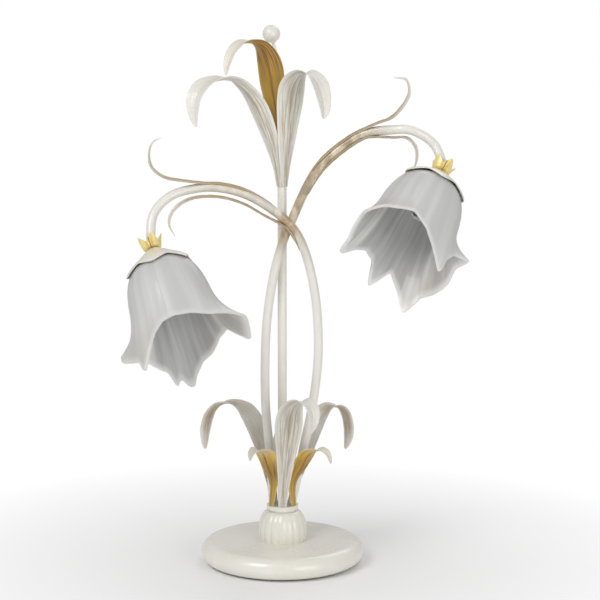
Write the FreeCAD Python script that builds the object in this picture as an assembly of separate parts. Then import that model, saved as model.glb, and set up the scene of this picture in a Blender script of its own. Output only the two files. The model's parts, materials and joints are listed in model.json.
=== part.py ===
"""Tulip shade table lamp: ivory ironwork stem with two hanging glass flowers.

Millimetres, +Z up, front towards -Y.  The origin is the middle of the underside.
"""
import FreeCAD, Part
import math
import os

# ---------------------------------------------------------------- driving dimensions
# clearances
PIECE_GAP = 0.3
THREAD_GAP = 0.05

# base
BASE_RADIUS = 91.7
BASE_THICKNESS = 24.0
FELT_THICKNESS = 1.5
FELT_MARGIN = 1.0
RIM_WALL = 17.7
PLATE_THICKNESS = 2.0
WEIGHT_BORE_RADIUS = 34.0
CORD_SLOT_WIDTH = 12.0
CORD_BORE = 6.2
BUSH_WALL = 1.3
BUSH_FLANGE_RADIUS = 6.5
BUSH_FLANGE_THICKNESS = 1.5
BUSH_SEAT_DEPTH = 3.7
PLATE_SCREW_ANGLES = (30.0, 150.0, 270.0)
PLATE_SCREW_DIAMETER = 4.0
PLATE_SCREW_HEAD = 7.6
PLATE_SCREW_HEAD_HEIGHT = 1.9
PLATE_SCREW_GRIP = 6.0

# tie rod and its nut
ROD_DIAMETER = 6.0
ROD_GRIP = 5.0
ROD_TAIL = 1.5
NUT_ACROSS_FLATS = 10.0
NUT_THICKNESS = 5.0
WASHER_DIAMETER = 14.0
WASHER_THICKNESS = 1.5

# terminal block
BLOCK_WIDTH = 28.0
BLOCK_DEPTH = 14.0
BLOCK_HEIGHT = 10.0
BLOCK_FRONT = 16.0
BLOCK_SCREW_DIAMETER = 3.2
BLOCK_SCREW_LENGTH = 3.5
BLOCK_SCREW_INSET = 3.5

# fluted neck and hub
NECK_HEIGHT = 33.5
NECK_LOBES = 18
NECK_LOBE_RISE = 1.3
NECK_PROFILE = ((0.0, 26.5), (0.22, 27.7), (0.5, 27.0), (0.74, 25.0), (0.94, 21.0), (1.0, 18.0))
NECK_CAVITY_MARGIN = 1.7
NECK_ROOF = 4.0
HUB_HEIGHT = 7.0
HUB_RIM = 1.5

# tubes and leads
TUBE_DIAMETER = 10.0
TUBE_WALL = 1.5
STEM_LENGTH = 365.3
ROUTE_STEM_LENGTH = 365.3
LEAD_DIAMETER = 4.0
LEAD_BEND = 8.0
LEAD_HOLE = 8.0
ARM_STRAIGHT_END = 8.0

# arm routes: x, height above the hub, layers in front of the stem, further reach forward;
# heights stretch with the stem from the length they were laid out for
RIGHT_ARM = (
    (-14.4, 64.6, 1.0, 0.0),
    (-18.5, 115.0, 1.0, 0.0),
    (-19.0, 165.0, 1.0, 0.0),
    (-16.6, 213.0, 1.0, 0.0),
    (-9.6, 260.0, 1.0, 0.0),
    (0.5, 297.7, 1.0, 0.0),
    (12.1, 325.8, 1.0, 0.0),
    (25.3, 355.2, 1.0, 1.0),
    (42.8, 382.6, 1.0, 2.5),
    (65.7, 403.5, 1.0, 4.0),
    (90.6, 418.3, 1.0, 7.5),
    (119.2, 422.6, 1.0, 13.0),
    (142.1, 421.8, 1.0, 18.0),
    (165.2, 407.0, 1.0, 16.5),
)
LEFT_ARM = (
    (23.2, 64.6, 1.0, 0.0),
    (34.1, 118.0, 1.0, 0.0),
    (39.9, 170.0, 1.2, 0.0),
    (38.6, 222.0, 1.5, 0.0),
    (32.2, 264.0, 1.8, 0.0),
    (22.0, 297.8, 2.0, 0.0),
    (8.3, 319.5, 2.0, 0.2),
    (-13.0, 337.4, 2.0, 2.0),
    (-37.9, 352.0, 2.0, 6.0),
    (-64.9, 359.7, 2.0, 10.0),
    (-90.2, 359.9, 2.0, 11.5),
    (-119.6, 352.3, 2.0, 19.7),
    (-138.0, 332.8, 2.0, 31.0),
)
# where each arm ends, and how its light hangs: lean towards the stem, tilt to the front
RIGHT_END = (170.5, 378.4, 1.0, 36.0)
RIGHT_LEAN = -23.5
RIGHT_TILT = 39.7
LEFT_END = (-137.6, 297.5, 2.0, 48.0)
LEFT_LEAN = 18.5
LEFT_TILT = 30.7

# pressed leaves
LEAF_THICKNESS = 0.8
LEAF_CREASE = 0.34
LEAF_ROOT_HALF_WIDTH = 4.2
LEAF_ROOT_GAP = 2.4
LEAF_STEPS = 2
SHEATH_CURL = 0.1

# crown, calyx and glass: one light, hanging mouth down from the end of its arm
CROWN_THICKNESS = 0.8
CALYX_THICKNESS = 0.8
GLASS_THICKNESS = 3.0
PLATE_HOLE_GAP = 0.25
CROWN_PROFILE = ((7.5, 0.0), (9.8, -1.2), (10.5, -3.8))
CROWN_TIPS = tuple((angle, -14.5, 14.0) for angle in (20.0, 92.0, 164.0, 236.0, 308.0))
CROWN_VALLEYS = tuple((angle, -6.0, 11.0) for angle in (56.0, 128.0, 200.0, 272.0, 344.0))
CALYX_PROFILE = ((6.0, 0.8), (14.0, 6.6), (22.0, 13.0), (28.0, 17.4))
CALYX_TIPS = tuple((angle, 28.5, 41.0) for angle in (0.0, 60.0, 120.0, 180.0, 240.0, 300.0))
CALYX_VALLEYS = tuple((angle, 21.5, 34.0) for angle in (30.0, 90.0, 150.0, 210.0, 270.0, 330.0))
GLASS_HOLE_RADIUS = 14.5
GLASS_TOP = 17.8
GLASS_PROFILE = ((21.5, 17.8), (29.0, 22.6), (35.5, 30.0), (40.5, 41.0), (43.6, 54.0), (45.4, 67.0))
# petalled rims pulled by hand: angle from the front, depth below the arm end, radius
RIGHT_RIM = (
    (9, 103, 52), (30, 122, 54), (42, 138, 60), (51, 114, 54), (62, 98, 56), (75, 91, 70),
    (86, 99, 60), (94, 113, 61), (104, 120, 60), (132, 126, 61), (145, 145, 66), (158, 125, 58),
    (174, 109, 53), (188, 132, 64), (200, 108, 54), (213, 103, 56), (226, 112, 59), (237, 128, 66),
    (254, 121, 58), (270, 99, 57), (293, 97, 57), (310, 93, 54), (328, 92, 52), (346, 90, 52),
)
LEFT_RIM = (
    (5, 100, 52), (25, 102, 52), (49, 106, 53), (70, 105, 58), (95, 107, 71), (115, 124, 73),
    (128, 101, 58), (141, 105, 55), (159, 117, 54), (173, 121, 54), (184, 131, 55), (191, 143, 58),
    (197, 142, 57), (203, 131, 55), (209, 139, 59), (216, 122, 55), (235, 110, 57), (252, 99, 61),
    (268, 101, 69), (281, 114, 68), (297, 124, 62), (307, 129, 58), (313, 144, 60), (329, 121, 55),
    (339, 109, 53), (350, 102, 52),
)
GLASS_COLUMNS = 72
GLASS_FLARE_STEPS = 5
SHEET_FLARE_STEPS = 3
CALYX_COLUMNS = 48
CROWN_COLUMNS = 40

# lampholder, ring and bulb (E14)
NIPPLE_BORE = 4.6
NIPPLE_UP = 7.0
CAP_WALL = 1.5
CAP_TOP_RADIUS = 5.6
CAP_RADIUS = 14.0
CAP_CONE = 7.9
FLANGE_RADIUS = 18.0
FLANGE_THICKNESS = 2.0
SLEEVE_RADIUS = 13.9
SLEEVE_WALL = 2.0
SLEEVE_END = 44.0
CORE_TOP = 10.5
CORE_FLOOR = 16.0
CORE_END = 42.0
SHELL_RADIUS = 7.6
SHELL_WALL = 0.5
SHELL_TOP = 18.4
SHELL_END = 40.0
CONTACT_RADIUS = 2.5
CONTACT_HEIGHT = 1.2
RING_RADIUS = 19.5
RING_HEIGHT = 6.0
BULB_CAP_RADIUS = 6.9
BULB_CAP_LENGTH = 22.0
BULB_TIP_HEIGHT = 1.6
BULB_RADIUS = 11.0
BULB_LENGTH = 25.0

# finial
PLUG_DEPTH = 12.0
PLUG_FLANGE = 2.0
PISTIL_DIAMETER = 3.5
BALL_RADIUS = 9.6
BALL_FLAT = 8.4
BALL_SOCKET = 5.0
BALL_CENTRE = (-11.5, 2.0, 160.6)
PISTIL_ROUTE = ((0.3, 1.0, 30.0), (0.3, 2.6, 62.0), (-0.6, 3.6, 94.0), (-3.4, 3.4, 124.0))

# ---------------------------------------------------------------- places that follow
TUBE_RADIUS = TUBE_DIAMETER / 2
TUBE_BORE_RADIUS = TUBE_RADIUS - TUBE_WALL
LAYER = TUBE_DIAMETER + PIECE_GAP
FOOT_X = LAYER
BASE_Z = FELT_THICKNESS
WEIGHT_THICKNESS = BASE_THICKNESS / 2
CEILING_Z = BASE_Z + PLATE_THICKNESS + WEIGHT_THICKNESS
CAVITY_RADIUS = BASE_RADIUS - RIM_WALL
PLATE_SCREW_CIRCLE = (CAVITY_RADIUS + WEIGHT_BORE_RADIUS) / 2
PLATE_SCREW_LENGTH = PLATE_THICKNESS + WEIGHT_THICKNESS + PLATE_SCREW_GRIP
NECK_Z = BASE_Z + BASE_THICKNESS
HUB_Z = NECK_Z + NECK_HEIGHT
HUB_TOP = HUB_Z + HUB_HEIGHT
STEM_TOP = HUB_TOP + STEM_LENGTH
ROOT_RADIUS = LAYER * math.cos(math.radians(30)) + TUBE_RADIUS + LEAF_ROOT_GAP
HUB_RADIUS = ROOT_RADIUS + HUB_RIM
NECK_CAVITY_RADIUS = FOOT_X + TUBE_BORE_RADIUS + NECK_CAVITY_MARGIN
PLATE_HOLE = TUBE_BORE_RADIUS + PLATE_HOLE_GAP
UP = FreeCAD.Vector(0, 0, 1)


def vec(x, y, z):
    """A point or direction."""
    return FreeCAD.Vector(x, y, z)


def polar(radius, degrees, z):
    """A point at a radius and angle round the Z axis."""
    angle = math.radians(degrees)
    return vec(radius * math.cos(angle), radius * math.sin(angle), z)


def cylinder(radius, z_low, z_high, x=0.0, y=0.0):
    """An upright cylinder between two heights."""
    return Part.makeCylinder(radius, z_high - z_low, vec(x, y, z_low), UP)


def ring(outer, inner, z_low, z_high, x=0.0, y=0.0):
    """An upright tube between two heights."""
    return cylinder(outer, z_low, z_high, x, y).cut(cylinder(inner, z_low - 1, z_high + 1, x, y))


def turned(outline):
    """A solid of revolution round Z from (radius, height) corners."""
    corners = [vec(radius, 0, z) for radius, z in outline]
    face = Part.Face(Part.makePolygon(corners + corners[:1]))
    return face.revolve(vec(0, 0, 0), UP, 360)


# ---------------------------------------------------------------- curves and sheets
def route_tangent(points, index, first, last):
    """Direction of a route at one of its points."""
    if index == 0:
        return first
    if index == len(points) - 1:
        return last
    direction = points[index + 1] - points[index - 1]
    return direction.normalize()


def arc_or_line(start, tangent, end):
    """The arc that leaves start along tangent and reaches end, or a line where it is straight."""
    chord = end - start
    side = chord - tangent * chord.dot(tangent)
    if side.Length < chord.Length * 1e-5:
        return Part.LineSegment(start, end).toShape()
    radius = chord.Length ** 2 / (2 * side.Length)
    centre = start + side * (radius / side.Length)
    middle = (start - centre) + (end - centre)
    return Part.Arc(start, centre + middle.normalize() * radius, end).toShape()


def biarc(start, tangent_start, end, tangent_end):
    """Two tangent arcs of equal reach that join two points in two directions."""
    chord = end - start
    a = 2 * (1 - tangent_start.dot(tangent_end))
    b = 2 * chord.dot(tangent_start + tangent_end)
    c = -chord.dot(chord)
    reach = -c / b if abs(a) < 1e-9 else (-b + math.sqrt(b * b - 4 * a * c)) / (2 * a)
    joint = (start + end + (tangent_start - tangent_end) * reach) * 0.5
    joint_tangent = (joint - (start + tangent_start * reach)).normalize()
    return [arc_or_line(start, tangent_start, joint), arc_or_line(joint, joint_tangent, end)]


def smooth_edges(points, first, last):
    """A route through the points, as arcs that meet smoothly."""
    edges = []
    for index in range(len(points) - 1):
        edges += biarc(points[index], route_tangent(points, index, first, last),
                       points[index + 1], route_tangent(points, index + 1, first, last))
    return edges


def swept(edges, outer_radius, inner_radius=0.0):
    """A rod or a tube along a chain of edges."""
    path = Part.Wire(edges)
    start = edges[0].valueAt(edges[0].FirstParameter)
    direction = edges[0].tangentAt(edges[0].FirstParameter)
    solids = []
    for radius in (outer_radius, inner_radius):
        if radius:
            circle = Part.Wire(Part.makeCircle(radius, start, direction))
            solids.append(path.makePipeShell([circle], True, False))
    if inner_radius:
        return solids[0].cut(solids[1])
    return solids[0]


def between(rows, steps):
    """Rows of numbers with smooth rows added between them."""
    result = []
    for index in range(len(rows) - 1):
        before = rows[max(index - 1, 0)]
        after = rows[min(index + 2, len(rows) - 1)]
        for step in range(steps):
            t = step / steps
            row = []
            for p0, p1, p2, p3 in zip(before, rows[index], rows[index + 1], after):
                row.append(0.5 * (2 * p1 + (p2 - p0) * t + (2 * p0 - 5 * p1 + 4 * p2 - p3) * t ** 2
                                  + (3 * p1 - p0 - 3 * p2 + p3) * t ** 3))
            result.append(row)
    result.append(list(rows[-1]))
    return result


def pressed_leaf(stations, crease, roundness=1.0):
    """A pressed sheet leaf.  Each station is x, y, z, half width and the way its outer face looks.

    The sheet lies across its midrib with both edges bent back towards its inner face.
    """
    wires = []
    centres = [vec(*row[:3]) for row in stations]
    for index, row in enumerate(stations):
        ahead = centres[min(index + 1, len(centres) - 1)]
        behind = centres[max(index - 1, 0)]
        tangent = (ahead - behind).normalize() if index else UP
        half_width = row[3]
        facing = math.radians(row[4])
        side = vec(-math.sin(facing), math.cos(facing), 0)
        side = (side - tangent * side.dot(tangent)).normalize()
        outward = side.cross(tangent).normalize()
        wires.append(leaf_section(centres[index], side, outward, half_width, crease, roundness))
    return Part.makeLoft(wires, True, True)


def leaf_section(centre, side, outward, half_width, crease, roundness):
    """The closed outline across a leaf."""
    outer = []
    inner = []
    for share in (-1.0, -0.5, 0.0, 0.5, 1.0):
        depth = crease * half_width * abs(share) ** roundness
        point = centre + side * (share * half_width) - outward * depth
        outer.append(point)
        inner.append(point - outward * LEAF_THICKNESS)
    loop = outer + inner[::-1]
    return Part.makePolygon(loop + loop[:1])


def rim(knots, columns):
    """Angle, depth and radius at even steps round a rim given by its corners."""
    ahead = knots[0][0] + 360
    knots = ((knots[-1][0] - 360,) + knots[-1][1:],) + knots + ((ahead,) + knots[0][1:],)
    result = []
    for column in range(columns):
        angle = 360 * column / columns
        for low, high in zip(knots, knots[1:]):
            if low[0] <= angle < high[0]:
                share = (angle - low[0]) / (high[0] - low[0])
                depth = low[1] + (high[1] - low[1]) * share
                radius = low[2] + (high[2] - low[2]) * share
                result.append((angle, depth, radius))
                break
    return result


def scallops(tips, valleys):
    """The corners of a rim whose round lobes meet in valleys."""
    knots = []
    for tip, valley in zip(tips, valleys):
        knots += [tip, valley]
    return tuple(sorted(knots))


def shell_rows(profile, edge, flare_steps):
    """Rings of points from the hole to the rim; the flare leaves along the last slope."""
    rows = [[polar(radius, angle, -depth) for angle, _, _ in edge] for radius, depth in profile]
    radius_0, depth_0 = profile[-1]
    slope = (radius_0 - profile[-2][0]) / (depth_0 - profile[-2][1])
    for step in range(1, flare_steps + 1):
        t = step / flare_steps
        row = []
        for angle, depth, radius in edge:
            pull_depth = depth_0 + (depth - depth_0) * 0.6
            pull_radius = radius_0 + (pull_depth - depth_0) * slope
            r = (1 - t) ** 2 * radius_0 + 2 * t * (1 - t) * pull_radius + t * t * radius
            d = (1 - t) ** 2 * depth_0 + 2 * t * (1 - t) * pull_depth + t * t * depth
            row.append(polar(r, angle, -d))
        rows.append(row)
    return rows


def petal_shell(rows, thickness):
    """A closed shell of one thickness that lies under rings of points."""
    count = len(rows)
    columns = len(rows[0])
    inner = []
    for i, row in enumerate(rows):
        inner_row = []
        for j, point in enumerate(row):
            down = rows[min(i + 1, count - 1)][j] - rows[max(i - 1, 0)][j]
            round_it = row[(j + 1) % columns] - row[j - 1]
            normal = down.cross(round_it).normalize()
            inner_row.append(point - normal * thickness)
        inner.append(inner_row)
    rings = [Part.makePolygon(row + row[:1]) for row in rows + inner[::-1]]
    faces = []
    for low, high in zip(rings, rings[1:] + rings[:1]):
        faces += Part.makeRuledSurface(low, high).Faces
    skin = Part.makeCompound(faces)
    skin.sewShape()
    solid = Part.Solid(Part.Shell(skin.Faces))
    if solid.Volume < 0:
        solid.reverse()
    return solid


# ---------------------------------------------------------------- base
def base_disc():
    """The round base with its full-round edge, a recess from below and the cord bore."""
    half = BASE_THICKNESS / 2
    flat = BASE_RADIUS - half
    top = NECK_Z
    edges = [
        Part.LineSegment(vec(0, 0, BASE_Z), vec(flat, 0, BASE_Z)).toShape(),
        Part.Arc(vec(flat, 0, BASE_Z), vec(BASE_RADIUS, 0, BASE_Z + half), vec(flat, 0, top)).toShape(),
        Part.LineSegment(vec(flat, 0, top), vec(0, 0, top)).toShape(),
        Part.LineSegment(vec(0, 0, top), vec(0, 0, BASE_Z)).toShape(),
    ]
    disc = Part.Face(Part.Wire(edges)).revolve(vec(0, 0, 0), UP, 360)
    cuts = [cylinder(CAVITY_RADIUS, BASE_Z - 1, CEILING_Z),
            cylinder(ROD_DIAMETER / 2 + PIECE_GAP, BASE_Z, top + 1)]
    for x in (-FOOT_X, FOOT_X):
        cuts.append(cylinder(LEAD_HOLE / 2, BASE_Z, top + 1, x))
    for angle in PLATE_SCREW_ANGLES:
        place = polar(PLATE_SCREW_CIRCLE, angle, 0)
        cuts.append(cylinder(PLATE_SCREW_DIAMETER / 2 + THREAD_GAP, BASE_Z,
                             BASE_Z + PLATE_SCREW_LENGTH + PIECE_GAP, place.x, place.y))
    back = vec(0, 1, 0)
    cuts.append(Part.makeCylinder(bush_radius() + THREAD_GAP, BASE_RADIUS, vec(0, 0, cord_height()), back))
    cuts.append(Part.makeCylinder(BUSH_FLANGE_RADIUS + PIECE_GAP, BASE_RADIUS,
                                  vec(0, bush_seat(), cord_height()), back))
    for cut in cuts:
        disc = disc.cut(cut)
    return disc


def bush_radius():
    """Outside of the cord bush."""
    return CORD_BORE / 2 + BUSH_WALL


def bush_seat():
    """How far back the face is that the bush's flange rests on."""
    return BASE_RADIUS - BUSH_SEAT_DEPTH


def cord_height():
    """Height of the cord's hole, half way up the weight."""
    return BASE_Z + PLATE_THICKNESS + WEIGHT_THICKNESS / 2


def cord_inlet_bush():
    """The flanged bush that a cord goes through at the back of the base."""
    back = vec(0, 1, 0)
    inside = CAVITY_RADIUS - 1
    body = Part.makeCylinder(bush_radius(), bush_seat() - inside, vec(0, inside, cord_height()), back)
    flange = Part.makeCylinder(BUSH_FLANGE_RADIUS, BUSH_FLANGE_THICKNESS,
                               vec(0, bush_seat(), cord_height()), back)
    bore = Part.makeCylinder(CORD_BORE / 2, BASE_RADIUS, vec(0, inside - 1, cord_height()), back)
    return body.fuse(flange).cut(bore).removeSplitter()


def base_weight():
    """The steel ring that keeps the lamp standing, slotted for the cord."""
    low = BASE_Z + PLATE_THICKNESS
    weight = ring(CAVITY_RADIUS - 1, WEIGHT_BORE_RADIUS, low, CEILING_Z)
    slot = Part.makeBox(CORD_SLOT_WIDTH, CAVITY_RADIUS, WEIGHT_THICKNESS + 2,
                        vec(-CORD_SLOT_WIDTH / 2, 0, low - 1))
    weight = weight.cut(slot)
    for angle in PLATE_SCREW_ANGLES:
        place = polar(PLATE_SCREW_CIRCLE, angle, 0)
        weight = weight.cut(cylinder(PLATE_SCREW_DIAMETER / 2 + PIECE_GAP, low - 1, CEILING_Z + 1,
                                     place.x, place.y))
    return weight


def base_closing_plate():
    """The sheet disc that closes the base, countersunk for its screws."""
    plate = cylinder(CAVITY_RADIUS - PIECE_GAP, BASE_Z, BASE_Z + PLATE_THICKNESS)
    for angle in PLATE_SCREW_ANGLES:
        place = polar(PLATE_SCREW_CIRCLE, angle, BASE_Z)
        sink = Part.makeCone(PLATE_SCREW_HEAD / 2 + PIECE_GAP / 2, PLATE_SCREW_DIAMETER / 2 + PIECE_GAP / 2,
                             PLATE_THICKNESS, place, UP)
        plate = plate.cut(sink)
    return plate


def closing_plate_screws():
    """Three countersunk screws up through the plate and the weight into the base."""
    screws = []
    for angle in PLATE_SCREW_ANGLES:
        place = polar(PLATE_SCREW_CIRCLE, angle, BASE_Z)
        head = Part.makeCone(PLATE_SCREW_HEAD / 2, PLATE_SCREW_DIAMETER / 2, PLATE_SCREW_HEAD_HEIGHT,
                             place, UP)
        shank = cylinder(PLATE_SCREW_DIAMETER / 2, BASE_Z, BASE_Z + PLATE_SCREW_LENGTH, place.x, place.y)
        screws.append(head.fuse(shank).removeSplitter())
    return Part.makeCompound(screws)


def felt_pad():
    """The felt under the base."""
    return cylinder(BASE_RADIUS - BASE_THICKNESS / 2 - FELT_MARGIN, 0, FELT_THICKNESS)


def tie_rod():
    """The threaded rod that clamps base, neck and hub together."""
    low = CEILING_Z - WASHER_THICKNESS - NUT_THICKNESS - ROD_TAIL
    return cylinder(ROD_DIAMETER / 2, low, HUB_Z + ROD_GRIP)


def base_washer():
    """The washer under the nut."""
    return ring(WASHER_DIAMETER / 2, ROD_DIAMETER / 2 + PIECE_GAP, CEILING_Z - WASHER_THICKNESS, CEILING_Z)


def base_nut():
    """The hexagon nut on the tie rod."""
    high = CEILING_Z - WASHER_THICKNESS
    corner = NUT_ACROSS_FLATS / 2 / math.cos(math.radians(30))
    corners = [polar(corner, 60 * k, high - NUT_THICKNESS) for k in range(7)]
    nut = Part.Face(Part.makePolygon(corners)).extrude(vec(0, 0, NUT_THICKNESS))
    return nut.cut(cylinder(ROD_DIAMETER / 2 + THREAD_GAP, 0, HUB_Z))


def block_screw_places():
    """Where the four terminal screws stand."""
    front = BLOCK_FRONT + BLOCK_SCREW_INSET
    rear = BLOCK_FRONT + BLOCK_DEPTH - BLOCK_SCREW_INSET
    return [(x, y) for x in (-FOOT_X, FOOT_X) for y in (front, rear)]


def terminal_block():
    """The two-way connector block on the ceiling of the base."""
    low = CEILING_Z - BLOCK_HEIGHT
    block = Part.makeBox(BLOCK_WIDTH, BLOCK_DEPTH, BLOCK_HEIGHT, vec(-BLOCK_WIDTH / 2, BLOCK_FRONT, low))
    for x, y in block_screw_places():
        hole = cylinder(BLOCK_SCREW_DIAMETER / 2 + THREAD_GAP, low - 1, low + BLOCK_SCREW_LENGTH, x, y)
        block = block.cut(hole)
    return block


def terminal_screws():
    """The connector block's four screws."""
    low = CEILING_Z - BLOCK_HEIGHT
    radius = BLOCK_SCREW_DIAMETER / 2
    return Part.makeCompound([cylinder(radius, low + PIECE_GAP, low + BLOCK_SCREW_LENGTH, x, y)
                              for x, y in block_screw_places()])


# ---------------------------------------------------------------- neck, hub, stem
def fluted_neck():
    """The hollow gadrooned neck: round lobes side by side, widest low down."""
    rings = []
    pitch = 360 / NECK_LOBES
    for share, radius in NECK_PROFILE:
        z = NECK_Z + NECK_HEIGHT * share
        rise = NECK_LOBE_RISE * (1 - 0.6 * share)
        arcs = []
        for lobe in range(NECK_LOBES):
            start = polar(radius - rise, pitch * lobe, z)
            middle = polar(radius, pitch * (lobe + 0.5), z)
            end = polar(radius - rise, pitch * (lobe + 1), z)
            arcs.append(Part.Arc(start, middle, end).toShape())
        rings.append(Part.Wire(arcs))
    neck = Part.makeLoft(rings, True, True)
    neck = neck.cut(cylinder(NECK_CAVITY_RADIUS, NECK_Z - 1, HUB_Z - NECK_ROOF))
    neck = neck.cut(cylinder(ROD_DIAMETER / 2 + PIECE_GAP, NECK_Z, HUB_Z + 1))
    for x in (-FOOT_X, FOOT_X):
        neck = neck.cut(cylinder(TUBE_BORE_RADIUS, NECK_Z, HUB_Z + 1, x))
    return neck


def stem_hub():
    """The turned collar that the tubes and the leaf roots stand on."""
    slope = HUB_HEIGHT * 0.35
    hub = turned(((0, HUB_Z), (HUB_RADIUS - slope, HUB_Z), (HUB_RADIUS, HUB_Z + slope),
                  (HUB_RADIUS, HUB_TOP), (0, HUB_TOP)))
    hub = hub.cut(cylinder(ROD_DIAMETER / 2 + THREAD_GAP, HUB_Z - 1, HUB_Z + ROD_GRIP + PIECE_GAP))
    for x in (-FOOT_X, FOOT_X):
        hub = hub.cut(cylinder(LEAD_DIAMETER / 2 + 2 * PIECE_GAP, HUB_Z - 1, HUB_TOP + 1, x))
    return hub


def centre_stem():
    """The straight tube in the middle."""
    return ring(TUBE_RADIUS, TUBE_BORE_RADIUS, HUB_TOP, STEM_TOP)


def stem_plug():
    """The turned plug in the top of the stem, bored for the pistil."""
    plug = cylinder(TUBE_BORE_RADIUS - THREAD_GAP, STEM_TOP - PLUG_DEPTH, STEM_TOP)
    plug = plug.fuse(cylinder(TUBE_RADIUS, STEM_TOP, STEM_TOP + PLUG_FLANGE)).removeSplitter()
    high = STEM_TOP + PLUG_FLANGE
    socket = cylinder(PISTIL_DIAMETER / 2 + THREAD_GAP, STEM_TOP - PLUG_DEPTH / 2, high + 1)
    return plug.cut(socket)


def above_stem(point):
    """A point given from the top of the stem."""
    return vec(point[0], point[1], STEM_TOP + point[2])


def ball_centre():
    """Middle of the ball."""
    return above_stem(BALL_CENTRE)


def pistil_rod():
    """The thin wavy rod that carries the ball."""
    root = vec(0, 0, STEM_TOP - PLUG_DEPTH / 2 + PIECE_GAP)
    mouth = vec(0, 0, STEM_TOP + PLUG_FLANGE)
    points = [mouth] + [above_stem(p) for p in PISTIL_ROUTE]
    centre = ball_centre()
    aim = (centre - points[-1]).normalize()
    end = centre - aim * BALL_SOCKET
    neck_point = centre - aim * (BALL_RADIUS + 2)
    edges = [Part.LineSegment(root, mouth).toShape()]
    edges += smooth_edges(points + [neck_point], UP, aim)
    edges.append(Part.LineSegment(neck_point, end).toShape())
    return swept(edges, PISTIL_DIAMETER / 2)


def ball_finial():
    """The ball, flattened where the pistil enters it."""
    centre = ball_centre()
    last = above_stem(PISTIL_ROUTE[-1])
    aim = (centre - last).normalize()
    ball = Part.makeSphere(BALL_RADIUS, centre)
    below = Part.makeCylinder(BALL_RADIUS, BALL_RADIUS, centre - aim * (BALL_FLAT + BALL_RADIUS), aim)
    ball = ball.cut(below)
    socket = Part.makeCylinder(PISTIL_DIAMETER / 2 + THREAD_GAP, 2 * BALL_RADIUS,
                               centre - aim * (BALL_SOCKET - PIECE_GAP + 2 * BALL_RADIUS), aim)
    return ball.cut(socket)


# ---------------------------------------------------------------- arms
def arm_point(row):
    """A point of an arm from its x, height above the hub, layer and reach."""
    x, height, layers, reach = row
    return vec(x, -layers * LAYER - reach, above_hub(height))


def above_hub(height):
    """A height given from the hub, for the stem length that the arms were laid out for."""
    return HUB_TOP + height * STEM_LENGTH / ROUTE_STEM_LENGTH


def hang(lean, tilt):
    """The way a light points."""
    lean, tilt = math.radians(lean), math.radians(tilt)
    return vec(math.sin(lean), -math.cos(lean) * math.sin(tilt), -math.cos(lean) * math.cos(tilt))


class Side:
    """One arm with its light: where it starts, runs and ends."""

    def __init__(self, name, foot_x, route, end, lean, tilt, rim_corners):
        self.name = name
        self.foot = vec(foot_x, 0, HUB_TOP)
        self.route = [arm_point(row) for row in route]
        self.end = arm_point(end)
        self.way = hang(lean, tilt)
        self.rim = rim_corners

    def arm_edges(self):
        """Arcs from the hub to the light, ending in a straight run."""
        straight = self.end - self.way * ARM_STRAIGHT_END
        points = [self.foot] + self.route + [straight]
        return smooth_edges(points, UP, self.way) + [Part.LineSegment(straight, self.end).toShape()]

    def arm_tube(self):
        """The bent tube."""
        return swept(self.arm_edges(), TUBE_RADIUS, TUBE_BORE_RADIUS)

    def arm_lead(self):
        """The two-core lead from the connector block through hub and arm to the lampholder."""
        x = self.foot.x
        height = CEILING_Z - BLOCK_HEIGHT / 2
        block = vec(x, BLOCK_FRONT, height)
        bend_start = vec(x, LEAD_BEND, height)
        bend_end = vec(x, 0, height + LEAD_BEND)
        share = LEAD_BEND * (1 - math.sqrt(0.5))
        bend_middle = vec(x, share, height + share)
        edges = [Part.LineSegment(block, bend_start).toShape(),
                 Part.Arc(bend_start, bend_middle, bend_end).toShape(),
                 Part.LineSegment(bend_end, self.foot).toShape()]
        edges += self.arm_edges()
        edges.append(Part.LineSegment(self.end, self.end + self.way * CORE_TOP).toShape())
        return swept(edges, LEAD_DIAMETER / 2)

    def placed(self, shape):
        """Hang a shape, modelled mouth down with its top at the origin, from the arm's end."""
        front = vec(0, -1, 0)
        front = (front - self.way * front.dot(self.way)).normalize()
        side = front.cross(self.way)
        matrix = FreeCAD.Matrix(front.x, side.x, -self.way.x, self.end.x,
                                front.y, side.y, -self.way.y, self.end.y,
                                front.z, side.z, -self.way.z, self.end.z,
                                0, 0, 0, 1)
        result = shape.copy()
        result.Placement = FreeCAD.Placement(matrix)
        return result


RIGHT = Side("right", -FOOT_X, RIGHT_ARM, RIGHT_END, RIGHT_LEAN, RIGHT_TILT, RIGHT_RIM)
LEFT = Side("left", FOOT_X, LEFT_ARM, LEFT_END, LEFT_LEAN, LEFT_TILT, LEFT_RIM)
SIDES = (LEFT, RIGHT)


# ---------------------------------------------------------------- one light
def sheet_crown():
    """The gilt crown of five pointed petals that stands up round the arm's end."""
    edge = rim(scallops(CROWN_TIPS, CROWN_VALLEYS), CROWN_COLUMNS)
    profile = ((PLATE_HOLE, 0.0),) + CROWN_PROFILE
    return petal_shell(shell_rows(profile, edge, SHEET_FLARE_STEPS), CROWN_THICKNESS)


def sheet_calyx():
    """The white scalloped calyx over the top of the glass."""
    edge = rim(scallops(CALYX_TIPS, CALYX_VALLEYS), CALYX_COLUMNS)
    profile = ((PLATE_HOLE, CROWN_THICKNESS),) + CALYX_PROFILE
    return petal_shell(shell_rows(profile, edge, SHEET_FLARE_STEPS), CALYX_THICKNESS)


def glass_shade(side):
    """The glass flower with its five pulled petals."""
    edge = rim(side.rim, GLASS_COLUMNS)
    profile = ((GLASS_HOLE_RADIUS, GLASS_TOP),) + GLASS_PROFILE
    return petal_shell(shell_rows(profile, edge, GLASS_FLARE_STEPS), GLASS_THICKNESS)


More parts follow.
